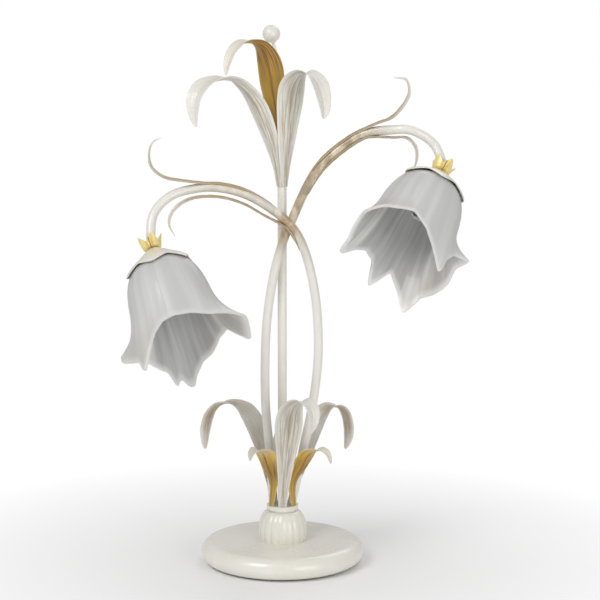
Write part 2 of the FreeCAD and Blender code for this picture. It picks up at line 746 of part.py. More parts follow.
def holder_nipple():
    """The threaded nipple from the arm's end into the lampholder."""
    radius = TUBE_BORE_RADIUS - THREAD_GAP
    return ring(radius, NIPPLE_BORE / 2, -cap_top() - 2 * CAP_WALL, NIPPLE_UP)


def cap_top():
    """Depth of the lampholder cap's top, under crown and calyx."""
    return CROWN_THICKNESS + CALYX_THICKNESS


def holder_cap():
    """The lampholder's cap: a cone that opens to a short straight wall."""
    top = -cap_top()
    shoulder = top - CAP_CONE
    low = FLANGE_THICKNESS - flange_low()
    inner = CAP_RADIUS - CAP_WALL
    return turned(((PLATE_HOLE, top), (CAP_TOP_RADIUS, top), (CAP_RADIUS, shoulder), (CAP_RADIUS, low),
                   (inner, low), (inner, shoulder - CAP_WALL / 2),
                   (CAP_TOP_RADIUS - CAP_WALL, top - CAP_WALL), (PLATE_HOLE, top - CAP_WALL)))


def flange_low():
    """Depth of the flange face that the glass hangs against."""
    return GLASS_TOP - PIECE_GAP


def holder_body():
    """The lampholder's threaded sleeve with the flange above the glass."""
    top = FLANGE_THICKNESS - flange_low()
    sleeve = cylinder(SLEEVE_RADIUS, -SLEEVE_END, top)
    body = sleeve.fuse(cylinder(FLANGE_RADIUS, -flange_low(), top)).removeSplitter()
    return body.cut(cylinder(SLEEVE_RADIUS - SLEEVE_WALL, -SLEEVE_END - 1, 0))


def holder_core():
    """The insulating core that carries the contacts."""
    radius = SLEEVE_RADIUS - SLEEVE_WALL - PIECE_GAP
    core = cylinder(radius, -CORE_END, -CORE_TOP)
    return core.cut(cylinder(SHELL_RADIUS + THREAD_GAP, -CORE_END - 1, -CORE_FLOOR))


def screw_shell():
    """The threaded brass shell that takes the bulb's cap."""
    return ring(SHELL_RADIUS, SHELL_RADIUS - SHELL_WALL, -SHELL_END, -SHELL_TOP)


def centre_contact():
    """The centre contact on the floor of the core."""
    return cylinder(CONTACT_RADIUS, -CORE_FLOOR - CONTACT_HEIGHT, -CORE_FLOOR)


def shade_ring():
    """The ring nut under the glass."""
    high = -(GLASS_TOP + GLASS_THICKNESS + PIECE_GAP)
    return ring(RING_RADIUS, SLEEVE_RADIUS + PIECE_GAP / 2, high - RING_HEIGHT, high)


def bulb_cap():
    """The bulb's metal cap with its tip."""
    tip = -(CORE_FLOOR + CONTACT_HEIGHT + PIECE_GAP)
    low = tip - BULB_TIP_HEIGHT
    return turned(((0, tip), (CONTACT_RADIUS, tip), (BULB_CAP_RADIUS, low),
                   (BULB_CAP_RADIUS, low - BULB_CAP_LENGTH), (0, low - BULB_CAP_LENGTH)))


def bulb_glass():
    """The small clear bulb: a shoulder, a straight side and a round end."""
    top = -(CORE_FLOOR + CONTACT_HEIGHT + PIECE_GAP + BULB_TIP_HEIGHT + BULB_CAP_LENGTH)
    neck = BULB_CAP_RADIUS - 0.7
    shoulder = top - 6
    straight = top - BULB_LENGTH + BULB_RADIUS
    edges = [
        Part.LineSegment(vec(0, 0, top), vec(neck, 0, top)).toShape(),
        Part.LineSegment(vec(neck, 0, top), vec(BULB_RADIUS, 0, shoulder)).toShape(),
        Part.LineSegment(vec(BULB_RADIUS, 0, shoulder), vec(BULB_RADIUS, 0, straight)).toShape(),
        Part.Arc(vec(BULB_RADIUS, 0, straight),
                 vec(BULB_RADIUS * math.sqrt(0.5), 0, straight - BULB_RADIUS * math.sqrt(0.5)),
                 vec(0, 0, straight - BULB_RADIUS)).toShape(),
        Part.LineSegment(vec(0, 0, straight - BULB_RADIUS), vec(0, 0, top)).toShape(),
    ]
    return Part.Face(Part.Wire(edges)).revolve(vec(0, 0, 0), UP, 360)


LIGHT_PIECES = {
    "crown": sheet_crown,
    "calyx": sheet_calyx,
    "holder_nipple": holder_nipple,
    "holder_cap": holder_cap,
    "holder_body": holder_body,
    "holder_core": holder_core,
    "screw_shell": screw_shell,
    "centre_contact": centre_contact,
    "shade_ring": shade_ring,
    "bulb_cap": bulb_cap,
    "bulb_glass": bulb_glass,
}

# ---------------------------------------------------------------- leaves
# stations after the root: x, y, z above the root, half width, the way the outer face looks
LOWER_LEAVES = {
    "long_leaf_left": (150.0, (
        (-15.6, 10.5, 20.0, 6.0, 145), (-21.5, 16.0, 50.0, 9.5, 130), (-30.5, 23.0, 80.0, 12.0, 120),
        (-42.0, 29.0, 99.0, 12.0, 125), (-56.0, 33.0, 107.6, 9.0, 155), (-69.5, 37.0, 106.6, 7.5, 170),
        (-81.0, 40.0, 95.4, 7.5, 175), (-87.0, 42.0, 76.3, 7.0, 175), (-88.9, 43.0, 53.8, 2.5, 175))),
    "long_leaf_front": (270.0, (
        (1.8, -21.5, 26.0, 6.0, 270), (4.4, -29.5, 60.0, 10.5, 273), (7.6, -38.0, 92.0, 15.0, 277),
        (10.5, -48.0, 114.0, 13.5, 283), (16.8, -59.0, 126.5, 10.5, 295), (25.2, -68.0, 129.5, 9.5, 308),
        (31.7, -74.0, 122.5, 9.0, 315), (33.4, -77.0, 110.5, 6.5, 315), (31.0, -78.0, 97.5, 1.5, 315))),
    "long_leaf_right": (30.0, (
        (16.6, 10.5, 20.0, 6.0, 35), (26.5, 16.0, 50.0, 9.0, 50), (36.0, 23.0, 80.0, 11.5, 60),
        (45.5, 29.0, 97.0, 11.0, 55), (56.3, 33.0, 104.6, 8.5, 30), (66.7, 37.0, 100.5, 7.5, 12),
        (72.5, 40.0, 87.2, 7.0, 5), (74.0, 42.0, 70.4, 6.0, 5), (71.5, 43.0, 53.8, 2.0, 5))),
    "gilt_leaf_left": (210.0, (
        (-11.8, -14.0, 26.0, 5.8, 228), (-15.9, -20.0, 46.0, 10.0, 240), (-20.6, -27.5, 62.5, 12.0, 245),
        (-26.6, -35.5, 68.8, 9.0, 228), (-32.0, -41.0, 67.0, 6.0, 215), (-35.0, -43.5, 59.5, 1.5, 215))),
    "gilt_leaf_right": (330.0, (
        (13.4, -14.0, 26.0, 5.8, 312), (21.5, -20.0, 46.0, 9.5, 300), (30.0, -27.5, 62.5, 10.5, 297),
        (40.3, -35.5, 69.2, 8.0, 312), (49.0, -41.0, 66.8, 5.0, 325), (53.6, -43.5, 56.2, 1.5, 325))),
    "gilt_leaf_back": (90.0, (
        (0.0, 19.5, 26.0, 5.8, 90), (0.0, 26.0, 46.0, 10.0, 90), (0.0, 35.0, 62.5, 11.0, 90),
        (0.0, 45.0, 68.8, 8.5, 90), (0.0, 52.0, 66.5, 5.5, 90), (0.0, 55.5, 57.0, 1.5, 90))),
}
UPPER_LEAVES = {
    "top_leaf_left": (225.0, (
        (-6.2, -7.6, 14.0, 5.4, 235), (-10.2, -10.2, 35.0, 7.8, 248), (-17.8, -13.6, 58.8, 10.0, 250),
        (-27.2, -18.0, 81.0, 11.0, 248), (-38.8, -24.0, 98.3, 10.0, 240), (-52.4, -30.0, 109.3, 9.0, 228),
        (-68.3, -36.0, 110.2, 10.5, 222), (-83.1, -42.0, 103.9, 11.0, 220), (-92.0, -47.0, 92.3, 8.5, 222),
        (-94.0, -50.0, 77.5, 5.8, 224), (-92.0, -52.0, 61.6, 1.4, 224))),
    "top_leaf_right": (315.0, (
        (4.6, -9.6, 14.0, 5.8, 300), (5.4, -13.6, 35.0, 8.2, 285), (7.0, -17.6, 58.8, 11.0, 280),
        (9.4, -23.0, 83.0, 13.8, 280), (12.4, -30.0, 102.5, 14.0, 284), (19.4, -38.0, 115.0, 11.5, 300),
        (29.4, -45.0, 117.0, 10.5, 316), (39.0, -50.5, 107.3, 10.0, 325), (44.3, -54.5, 92.5, 8.0, 325),
        (45.9, -57.0, 79.9, 5.0, 325), (44.6, -58.0, 70.3, 2.0, 325))),
}
TOP_LEAF_ROOT_DROP = 6.0
TOP_LEAF_ROOT_HALF_WIDTH = 3.4
GILT_TOP_LEAF = (
    (-0.2, -3.4, 14.0, 2.2, 268), (-0.8, -4.2, 30.0, 3.6, 266), (-3.2, -6.6, 54.0, 6.5, 264),
    (-7.0, -10.0, 80.0, 10.5, 262), (-11.0, -14.0, 105.0, 13.5, 258), (-15.0, -18.5, 128.0, 14.0, 250),
    (-21.8, -24.0, 144.0, 11.0, 240), (-32.0, -29.0, 150.0, 9.5, 232), (-43.0, -34.0, 149.0, 9.0, 228),
    (-52.0, -38.5, 140.0, 7.5, 226), (-56.8, -42.0, 128.0, 5.0, 226), (-59.2, -44.0, 116.0, 1.4, 226))


def lower_leaf(name):
    """A leaf that stands on the hub's rim."""
    angle, rows = LOWER_LEAVES[name]
    root = polar(ROOT_RADIUS, angle, HUB_TOP)
    stations = [(root.x, root.y, root.z, LEAF_ROOT_HALF_WIDTH, angle)]
    stations += [(x, y, HUB_TOP + z, width, facing) for x, y, z, width, facing in rows]
    return pressed_leaf(between(stations, LEAF_STEPS), LEAF_CREASE)


def upper_leaf(name):
    """A leaf brazed round the top of the stem."""
    angle, rows = UPPER_LEAVES[name]
    root = polar(TUBE_RADIUS + PIECE_GAP + LEAF_THICKNESS, angle, STEM_TOP - TOP_LEAF_ROOT_DROP)
    stations = [(root.x, root.y, root.z, TOP_LEAF_ROOT_HALF_WIDTH, angle)]
    stations += [(x, y, STEM_TOP + z, width, facing) for x, y, z, width, facing in rows]
    return pressed_leaf(between(stations, LEAF_STEPS), LEAF_CREASE)


def gilt_top_leaf():
    """The gilt leaf in front of the pistil, rooted on the plug."""
    root = (0, -(PISTIL_DIAMETER / 2 + PIECE_GAP + LEAF_THICKNESS), STEM_TOP + PLUG_FLANGE, 1.6, 270)
    stations = [root] + [(x, y, STEM_TOP + z, width, facing) for x, y, z, width, facing in GILT_TOP_LEAF]
    return pressed_leaf(between(stations, LEAF_STEPS), LEAF_CREASE)


# sheath leaves: share of the arm where each starts and lifts off, then its free curl
# free stations: x, height above the hub, forward from the stem, half width
SHEATHS = {
    "left_arm_upper_leaf": (LEFT, 1, 0.66, 0.80, (
        (-110.0, 370.6, 38.5, 4.8), (-126.5, 374.4, 42.0, 5.0), (-138.7, 384.1, 42.5, 4.8),
        (-141.7, 397.6, 43.0, 4.2), (-138.3, 408.9, 43.5, 2.8), (-129.6, 414.8, 44.0, 1.0))),
    "left_arm_lower_leaf": (LEFT, -1, 0.55, 0.61, (
        (-19.5, 328.4, 25.0, 3.6), (-41.2, 341.0, 28.5, 3.8), (-64.9, 348.6, 33.0, 3.8),
        (-88.6, 349.6, 38.0, 3.8), (-105.7, 344.6, 43.0, 3.8), (-116.9, 334.6, 47.0, 3.6),
        (-120.3, 322.0, 50.0, 2.8), (-114.6, 309.6, 52.0, 1.0))),
    "right_arm_upper_leaf": (RIGHT, 1, 0.63, 0.78, (
        (103.5, 431.4, 21.0, 4.6), (117.6, 436.9, 19.5, 4.8), (129.4, 448.8, 20.0, 5.0),
        (136.7, 462.8, 20.5, 4.8), (134.0, 475.7, 21.0, 3.4), (121.0, 478.6, 21.5, 1.0))),
    "right_arm_lower_leaf": (RIGHT, -1, 0.63, 0.80, (
        (121.0, 413.0, 21.0, 3.9), (135.0, 412.8, 24.0, 3.8), (144.0, 403.7, 28.0, 3.4),
        (145.1, 390.3, 31.0, 2.6), (141.2, 378.5, 33.0, 1.0))),
}
SHEATH_HALF_WIDTH = 4.4
SHEATH_START_HALF_WIDTH = 1.6
SHEATH_STATIONS = 7


def sheath_leaf(name):
    """A long slim leaf that lies along an arm and then curls free of it."""
    side, sign, start, lift, free = SHEATHS[name]
    path = Part.Wire(side.arm_edges())
    marks = path.discretize(Number=201)
    away = TUBE_RADIUS + 2 * PIECE_GAP + LEAF_THICKNESS
    rows = []
    for k in range(SHEATH_STATIONS):
        index = round(200 * (start + (lift - start) * k / (SHEATH_STATIONS - 1)))
        tangent = (marks[index + 1] - marks[index - 1]).normalize()
        upward = (UP - tangent * UP.dot(tangent)).normalize() * sign
        centre = marks[index] + upward * away
        share = min(1.0, k / 3)
        width = SHEATH_START_HALF_WIDTH + (SHEATH_HALF_WIDTH - SHEATH_START_HALF_WIDTH) * share
        rows.append((centre.x, centre.y, centre.z, width))
    rows += [(x, -forward, above_hub(height), width) for x, height, forward, width in free]
    rows = between(rows, LEAF_STEPS)
    return ribbon(rows, UP * sign)


def ribbon(rows, outward):
    """A rounded ribbon whose width lies front to back; its hollow side looks at the arm."""
    centres = [vec(*row[:3]) for row in rows]
    wires = []
    for index, row in enumerate(rows):
        ahead = centres[min(index + 1, len(rows) - 1)]
        behind = centres[max(index - 1, 0)]
        tangent = (ahead - behind).normalize()
        outward = (outward - tangent * outward.dot(tangent)).normalize()
        side = outward.cross(tangent).normalize()
        wires.append(leaf_section(centres[index], side, outward, row[3], SHEATH_CURL * row[3], 2.0))
    return Part.makeLoft(wires, True, True)


# ---------------------------------------------------------------- all pieces
def pieces():
    """Every piece by its name."""
    shapes = {
        "base_disc": base_disc(),
        "base_weight": base_weight(),
        "base_closing_plate": base_closing_plate(),
        "closing_plate_screws": closing_plate_screws(),
        "felt_pad": felt_pad(),
        "cord_inlet_bush": cord_inlet_bush(),
        "tie_rod": tie_rod(),
        "base_washer": base_washer(),
        "base_nut": base_nut(),
        "terminal_block": terminal_block(),
        "terminal_screws": terminal_screws(),
        "fluted_neck": fluted_neck(),
        "stem_hub": stem_hub(),
        "centre_stem": centre_stem(),
        "stem_plug": stem_plug(),
        "pistil_rod": pistil_rod(),
        "ball_finial": ball_finial(),
        "gilt_top_leaf": gilt_top_leaf(),
    }
    for name in LOWER_LEAVES:
        shapes[name] = lower_leaf(name)
    for name in UPPER_LEAVES:
        shapes[name] = upper_leaf(name)
    for name in SHEATHS:
        shapes[name] = sheath_leaf(name)
    for side in SIDES:
        shapes[side.name + "_arm_tube"] = side.arm_tube()
        shapes[side.name + "_arm_lead"] = side.arm_lead()
        shapes[side.name + "_glass_shade"] = side.placed(glass_shade(side))
        for name, make in LIGHT_PIECES.items():
            shapes[side.name + "_" + name] = side.placed(make())
    return shapes


def main():
    """Write each piece to its own file and say how it came out."""
    os.makedirs("parts", exist_ok=True)
    for name, shape in pieces().items():
        shape.exportStep("parts/" + name + ".step")
        box = shape.BoundBox
        print("%-24s solids %d valid %s volume %9.1f  z %7.2f to %7.2f"
              % (name, len(shape.Solids), shape.isValid(), shape.Volume, box.ZMin, box.ZMax))


main()
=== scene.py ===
"""A tulip shade table lamp: ivory and gilt ironwork, curled leaves and two frosted glass flowers.

Lengths are millimetres until a mesh is made; every mesh is in metres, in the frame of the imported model.
"""

import json
import logging
import math
from dataclasses import dataclass
from enum import Enum

import bpy
import numpy as np
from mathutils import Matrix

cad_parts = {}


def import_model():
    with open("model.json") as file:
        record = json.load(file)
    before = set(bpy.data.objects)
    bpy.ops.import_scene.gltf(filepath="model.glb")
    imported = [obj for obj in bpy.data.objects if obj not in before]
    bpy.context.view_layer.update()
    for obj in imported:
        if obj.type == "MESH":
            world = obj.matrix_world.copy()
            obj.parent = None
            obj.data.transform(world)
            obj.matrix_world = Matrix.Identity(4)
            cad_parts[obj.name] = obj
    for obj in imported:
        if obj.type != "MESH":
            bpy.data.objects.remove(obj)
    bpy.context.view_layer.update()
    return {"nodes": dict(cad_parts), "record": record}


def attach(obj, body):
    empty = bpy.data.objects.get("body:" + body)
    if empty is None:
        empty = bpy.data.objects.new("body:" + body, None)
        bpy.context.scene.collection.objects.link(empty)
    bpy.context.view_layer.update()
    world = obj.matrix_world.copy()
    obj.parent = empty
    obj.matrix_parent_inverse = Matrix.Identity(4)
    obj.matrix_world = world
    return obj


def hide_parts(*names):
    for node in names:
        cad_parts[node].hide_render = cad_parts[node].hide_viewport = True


MM = 0.001
HUB_TOP = 66.0
STEM_TOP = 431.3
LAYER = 10.3
LEAF_SHEET = 0.8
TUBE_RADIUS = 4.98
GLASS_WALL = 3.0
METAL_WALL = 0.8
SHARP_EDGE = math.radians(50)
TIP_REACH, SHORTEST_TIP, THINNEST_TIP = 2.6, 5.0, 0.25
MIDRIB_SOFTNESS = 0.012
VEINS, HAMMERING = 0.128, 0.112
WHITE = (1.0, 1.0, 1.0, 1.0)
CROSSING = 381.0
LOG = logging.getLogger("tulip_lamp")
Colour = tuple[float, float, float]


class Body(Enum):
    """The rigid bodies that pieces ride on."""

    LAMP = "lamp"
    LEFT_SHADE = "left_shade"
    RIGHT_SHADE = "right_shade"


# ------------------------------------------------------------------ curves and surfaces
def unit(vectors: np.ndarray) -> np.ndarray:
    """Scale each vector to length one.

    Args:
        vectors: any array whose last axis is x, y, z.

    Returns:
        The vectors divided by their own lengths.
    """
    return vectors / np.maximum(np.linalg.norm(vectors, axis=-1, keepdims=True), 1e-9)


def curve_through(rows: np.ndarray, steps: int) -> np.ndarray:
    """Carry a smooth curve through rows of any width.

    Between rows b and c the value is the cubic whose end slopes are half of (c - a) and half of
    (d - b); the rows past both ends are mirrored.

    Args:
        rows: the rows to pass through.
        steps: samples in each run between two rows.

    Returns:
        The sampled rows, with the last row at the end.
    """
    p = np.vstack([2 * rows[0] - rows[1], rows, 2 * rows[-1] - rows[-2]])
    a, b, c, d = (p[i:len(p) - 3 + i, None, :] for i in range(4))
    t = np.linspace(0, 1, steps, endpoint=False)[None, :, None]
    square = (2 * a - 5 * b + 4 * c - d) * t ** 2
    cube = (3 * b - a - 3 * c + d) * t ** 3
    inside = 0.5 * (2 * b + (c - a) * t + square + cube)
    return np.vstack([inside.reshape(-1, rows.shape[1]), rows[-1:]])


def run_length(points: np.ndarray) -> np.ndarray:
    """Return the distance along a line of points, starting at zero."""
    return np.concatenate([[0.0], np.cumsum(np.linalg.norm(np.diff(points[:, :3], axis=0), axis=1))])


def read_off(rows: np.ndarray, shares: np.ndarray) -> np.ndarray:
    """Read rows off along their own line.

    Args:
        rows: x, y, z and any further columns.
        shares: shares of the line's length, from 0 to 1.

    Returns:
        Every column in straight lines between the rows, at those shares.
    """
    along = run_length(rows)
    return np.stack([np.interp(shares * along[-1], along, column) for column in rows.T], axis=1)


def evenly(rows: np.ndarray, count: int) -> np.ndarray:
    """Return a count of rows at even distances along their own line."""
    return read_off(rows, np.linspace(0, 1, count))


def slopes(points: np.ndarray) -> np.ndarray:
    """Return the unit direction of a line of points at each point."""
    return unit(np.gradient(points, axis=0))


def rounded_tip(widths: np.ndarray, along: np.ndarray) -> np.ndarray:
    """Round a leaf's tip: its last stretch follows a quarter ellipse.

    The stretch is 2.6 times as long as the half width at the end, and at least 5 mm.

    Args:
        widths: half width at each station.
        along: distance of each station from the root.

    Returns:
        The half widths, falling to nearly nothing at the end.
    """
    reach = max(TIP_REACH * widths[-1], SHORTEST_TIP)
    share = np.clip((along - (along[-1] - reach)) / reach, 0, 1)
    return np.maximum(widths * np.sqrt(1 - share ** 2), THINNEST_TIP)


@dataclass
class Sheet:
    """A grid of points with, at each point, how it lies and how it is dressed.

    Attributes:
        points: rings by columns by x, y, z; the columns close on themselves.
        lay: share across, distance along in decimetres, and 1 on the outer face.
        dress: how brown, how white and how worn the finish is; on a pulled shell the first share is painted
            shade on its inner wall, and the second its rim band, a painted highlight on the glass.
        ring: whether the rings also close on themselves.
    """

    points: np.ndarray
    lay: np.ndarray
    dress: np.ndarray
    ring: bool = False


def bare(points: np.ndarray) -> Sheet:
    """Return a sheet for a finish that reads neither lay nor dress."""
    return Sheet(points, np.zeros(points.shape), np.zeros(points.shape))


def grid_faces(rings: int, columns: int, closed: bool) -> np.ndarray:
    """Join a grid into quads.

    Args:
        rings: number of rings.
        columns: points in each ring, which closes on itself.
        closed: whether the last ring joins the first.

    Returns:
        One row of four indices for each quad.
    """
    index = np.arange(rings * columns).reshape(rings, columns)
    low = index if closed else index[:-1]
    high = np.roll(index, -1, axis=0) if closed else index[1:]
    quads = [low, np.roll(low, -1, axis=1), np.roll(high, -1, axis=1), high]
    return np.stack(quads, axis=-1).reshape(-1, 4)


def build(name: str, sheet: Sheet, material: bpy.types.Material) -> bpy.types.Object:
    """Turn a sheet into a closed, smooth mesh whose faces look outwards.

    The signed volume, a sixth of the sum of each triangle's triple product, tells which way the
    faces look. Open ends are closed by a fan round the mean of the end ring.

    Args:
        name: the object's name.
        sheet: the grid and what is painted on it.
        material: its finish.

    Returns:
        The new object, at the origin.
    """
    rings, columns = sheet.points.shape[:2]
    points = sheet.points.reshape(-1, 3)
    faces = grid_faces(rings, columns, sheet.ring)
    lay, dress = sheet.lay.reshape(-1, 3), sheet.dress.reshape(-1, 3)
    fans = np.zeros((0, 3), int)
    if not sheet.ring:
        first = np.arange(columns)
        last = first + (rings - 1) * columns
        start, end = len(points), len(points) + 1
        points = np.vstack([points, points[first].mean(0), points[last].mean(0)])
        lay = np.vstack([lay, lay[first].mean(0), lay[last].mean(0)])
        dress = np.vstack([dress, dress[first].mean(0), dress[last].mean(0)])
        fans = np.vstack([
            np.stack([np.roll(first, -1), first, np.full(columns, start)], axis=1),
            np.stack([last, np.roll(last, -1), np.full(columns, end)], axis=1)])
    triangles = np.vstack([faces[:, :3], faces[:, [0, 2, 3]], fans])
    a, b, c = (points[triangles[:, i]] for i in range(3))
    if np.einsum("ij,ij->i", a, np.cross(b, c)).sum() < 0:
        faces, fans = faces[:, ::-1], fans[:, ::-1]
    mesh = bpy.data.meshes.new(name)
    mesh.from_pydata((points * MM).tolist(), [], faces.tolist() + fans.tolist())
    mesh.polygons.foreach_set("use_smooth", np.ones(len(mesh.polygons), bool))
    for key, values in (("lay", lay), ("dress", dress)):
        mesh.attributes.new(key, "FLOAT_VECTOR", "POINT").data.foreach_set("vector", values.ravel())
    mesh.materials.append(material)
    mesh.set_sharp_from_angle(angle=SHARP_EDGE)
    mesh.validate()
    mesh.update()
    piece = bpy.data.objects.new(name, mesh)
    bpy.context.scene.collection.objects.link(piece)
    return piece


def stand_in(body: Body, node: str, name: str, sheet: Sheet, paint: bpy.types.Material) -> None:
    """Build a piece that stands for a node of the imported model.

    Args:
        body: the body that it rides on.
        node: the node that it replaces.
        name: the new piece's name.
        sheet: its surface.
        paint: its finish.
    """
    piece = build(name, sheet, paint)
    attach(piece, body.value)
    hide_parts(node)
    LOG.info("%s stands for %s, %d faces", name, node, len(piece.data.polygons))


# ------------------------------------------------------------------ finishes
class Tree:
    """The nodes of a material or a world while they are being joined."""

    def __init__(self, owner: bpy.types.ID) -> None:
        """Take up the nodes that a new material or world starts with.

        Args:
            owner: the material or world.
        """
        owner.use_nodes = True
        self.owner = owner
        self.nodes, self.links = owner.node_tree.nodes, owner.node_tree.links
        self.shader = self.nodes.get("Principled BSDF")

    def add(self, kind: str, sockets: dict[str | int, object], **settings: object) -> bpy.types.Node:
        """Add a node.

        Args:
            kind: the node's type.
            sockets: by name or number, a value or the socket to read.
            settings: the node's own properties.

        Returns:
            The new node.
        """
        node = self.nodes.new(kind)
        for key, value in settings.items():
            setattr(node, key, value)
        for key, value in sockets.items():
            if isinstance(value, bpy.types.NodeSocket):
                self.links.new(value, node.inputs[key])
            else:
                node.inputs[key].default_value = value
        return node

    def place(self, scale: Colour = (1, 1, 1)) -> bpy.types.NodeSocket:
        """Return Object coordinates, stretched by a scale."""
        coordinates = self.add("ShaderNodeTexCoord", {})
        return self.drawn_out(coordinates.outputs["Object"], scale)

    def drawn_out(self, vector: bpy.types.NodeSocket, scale: Colour) -> bpy.types.NodeSocket:
        """Return a vector multiplied by a scale."""
        return self.add("ShaderNodeMapping", {0: vector, 3: scale}).outputs[0]

    def painted(self, key: str) -> bpy.types.NodeSocket:
        """Return the vector stored on the mesh under a key."""
        return self.add("ShaderNodeAttribute", {}, attribute_name=key).outputs["Vector"]

    def parts(self, vector: bpy.types.NodeSocket) -> list[bpy.types.NodeSocket]:
        """Return a vector's three parts."""
        return list(self.add("ShaderNodeSeparateXYZ", {0: vector}).outputs)

    def noise(self, where: bpy.types.NodeSocket, scale: float, detail: float = 4.0) -> bpy.types.NodeSocket:
        """Return a cloudy value between 0 and 1."""
        return self.add("ShaderNodeTexNoise", {"Vector": where, "Scale": scale, "Detail": detail}).outputs[0]

    def clouds(self, scale: float, detail: float = 4.0, stretch: Colour = (1, 1, 1)) -> bpy.types.NodeSocket:
        """Return a cloudy value laid over the object's own place."""
        return self.noise(self.place(stretch), scale, detail)

    def margin(self, across: bpy.types.NodeSocket) -> bpy.types.NodeSocket:
        """Return 0 on a leaf's midrib and 1 on both its margins."""
        return self.add("ShaderNodeMath", {0: across}, operation="ABSOLUTE").outputs[0]

    def seen(self) -> bpy.types.NodeSocket:
        """Return 1 to the camera's eye, also through glass, and 0 for light on the object."""
        path = self.add("ShaderNodeLightPath", {})
        return self.sums("MAXIMUM", path.outputs["Is Camera Ray"], path.outputs["Is Transmission Ray"])

    def show(self, share: object, a: bpy.types.Node, b: bpy.types.Node) -> None:
        """Show shader a where the share is 0 and shader b where it is 1.

        Args:
            share: a value or the socket to read.
            a: one shader.
            b: the other.
        """
        both = self.add("ShaderNodeMixShader", {0: share, 1: a.outputs[0], 2: b.outputs[0]})
        output = next(node for node in self.nodes if "Surface" in node.inputs)
        self.links.new(both.outputs[0], output.inputs["Surface"])

    def sums(self, operation: str, a: object, b: object = 0.0) -> bpy.types.NodeSocket:
        """Return a sum of two values, kept between 0 and 1."""
        return self.add("ShaderNodeMath", {0: a, 1: b}, operation=operation, use_clamp=True).outputs[0]

    def ramp(self, value: bpy.types.NodeSocket, low: float, high: float) -> bpy.types.NodeSocket:
        """Return 0 below low, 1 above high, and a straight line between."""
        return self.add("ShaderNodeMapRange", {0: value, 1: low, 2: high}).outputs[0]

    def blend(self, share: object, a: object, b: object) -> bpy.types.NodeSocket:
        """Return colour a where the share is 0 and b where it is 1."""
        sockets = {0: share, 6: tint(a), 7: tint(b)}
        return self.add("ShaderNodeMix", sockets, data_type="RGBA").outputs[2]

    def dent(self, height: bpy.types.NodeSocket, distance: float, strength: float) -> None:
        """Press a height into the shader's surface, in metres."""
        bump = self.add("ShaderNodeBump", {"Height": height, "Distance": distance, "Strength": strength})
        self.links.new(bump.outputs[0], self.shader.inputs["Normal"])

    def finish(self, **sockets: object) -> bpy.types.Material:
        """Set the shader's sockets.

        Args:
            sockets: a value or a socket to read, by name with underlines for spaces.

        Returns:
            The finished material.
        """
        for key, value in sockets.items():
            socket = self.shader.inputs[key.replace("_", " ")]
            if isinstance(value, bpy.types.NodeSocket):
                self.links.new(value, socket)
            else:
                socket.default_value = value
        return self.owner


def tint(colour: object) -> object:
    """Return a colour with its fourth part, or a socket as it is."""
    return colour if isinstance(colour, bpy.types.NodeSocket) else (*colour, 1.0)


@dataclass(frozen=True)
class IvoryEnamel:
    """Glossy ivory paint, brushed on, a little deeper in slow clouds."""

    name: str = "ivory_enamel"
    light: Colour = (0.81, 0.79, 0.72)
    deep: Colour = (0.77, 0.74, 0.66)
    gloss: float = 0.2

    def material(self) -> bpy.types.Material:
        """Mix the paint: slow clouds of tone, brush marks and a soft ripple.

        Returns:
            The finished material.
        """
        tree = Tree(bpy.data.materials.new(self.name))
        clouds = tree.clouds(26.0)
        brush = tree.clouds(420.0, 3.0, (1, 1, 0.25))
        colour = tree.blend(tree.ramp(clouds, 0.42, 0.75), self.light, self.deep)
        tree.dent(tree.sums("ADD", tree.clouds(60.0), brush), 0.0001, 0.15)
        rough = tree.add("ShaderNodeMapRange", {0: clouds, 3: self.gloss, 4: self.gloss + 0.12}).outputs[0]
        return tree.finish(Base_Color=colour, Roughness=rough, Coat_Weight=0.35, Coat_Roughness=0.08)


@dataclass(frozen=True)
class TubePaint:
    """The arms' ivory paint, rubbed through to gold and brown where the arms cross."""

    name: str = "tube_paint"
    light: Colour = (0.80, 0.78, 0.72)
    gold: Colour = (0.60, 0.44, 0.20)
    brown: Colour = (0.26, 0.155, 0.06)

    def material(self) -> bpy.types.Material:
        """Mix the paint: the first painted share says how much gold glaze lies on it.

        Returns:
            The finished material.
        """
        tree = Tree(bpy.data.materials.new(self.name))
        glaze = tree.parts(tree.painted("dress"))[0]
        patches = tree.clouds(85.0, stretch=(1, 1, 0.6))
        gilded = tree.blend(tree.ramp(patches, 0.42, 0.6), self.gold, self.brown)
        amount = tree.sums("MULTIPLY", glaze, tree.ramp(patches, 0.2, 0.5))
        tree.dent(patches, 0.0002, 0.3)
        colour = tree.blend(amount, self.light, gilded)
        return tree.finish(Base_Color=colour, Roughness=0.28, Coat_Weight=0.25)


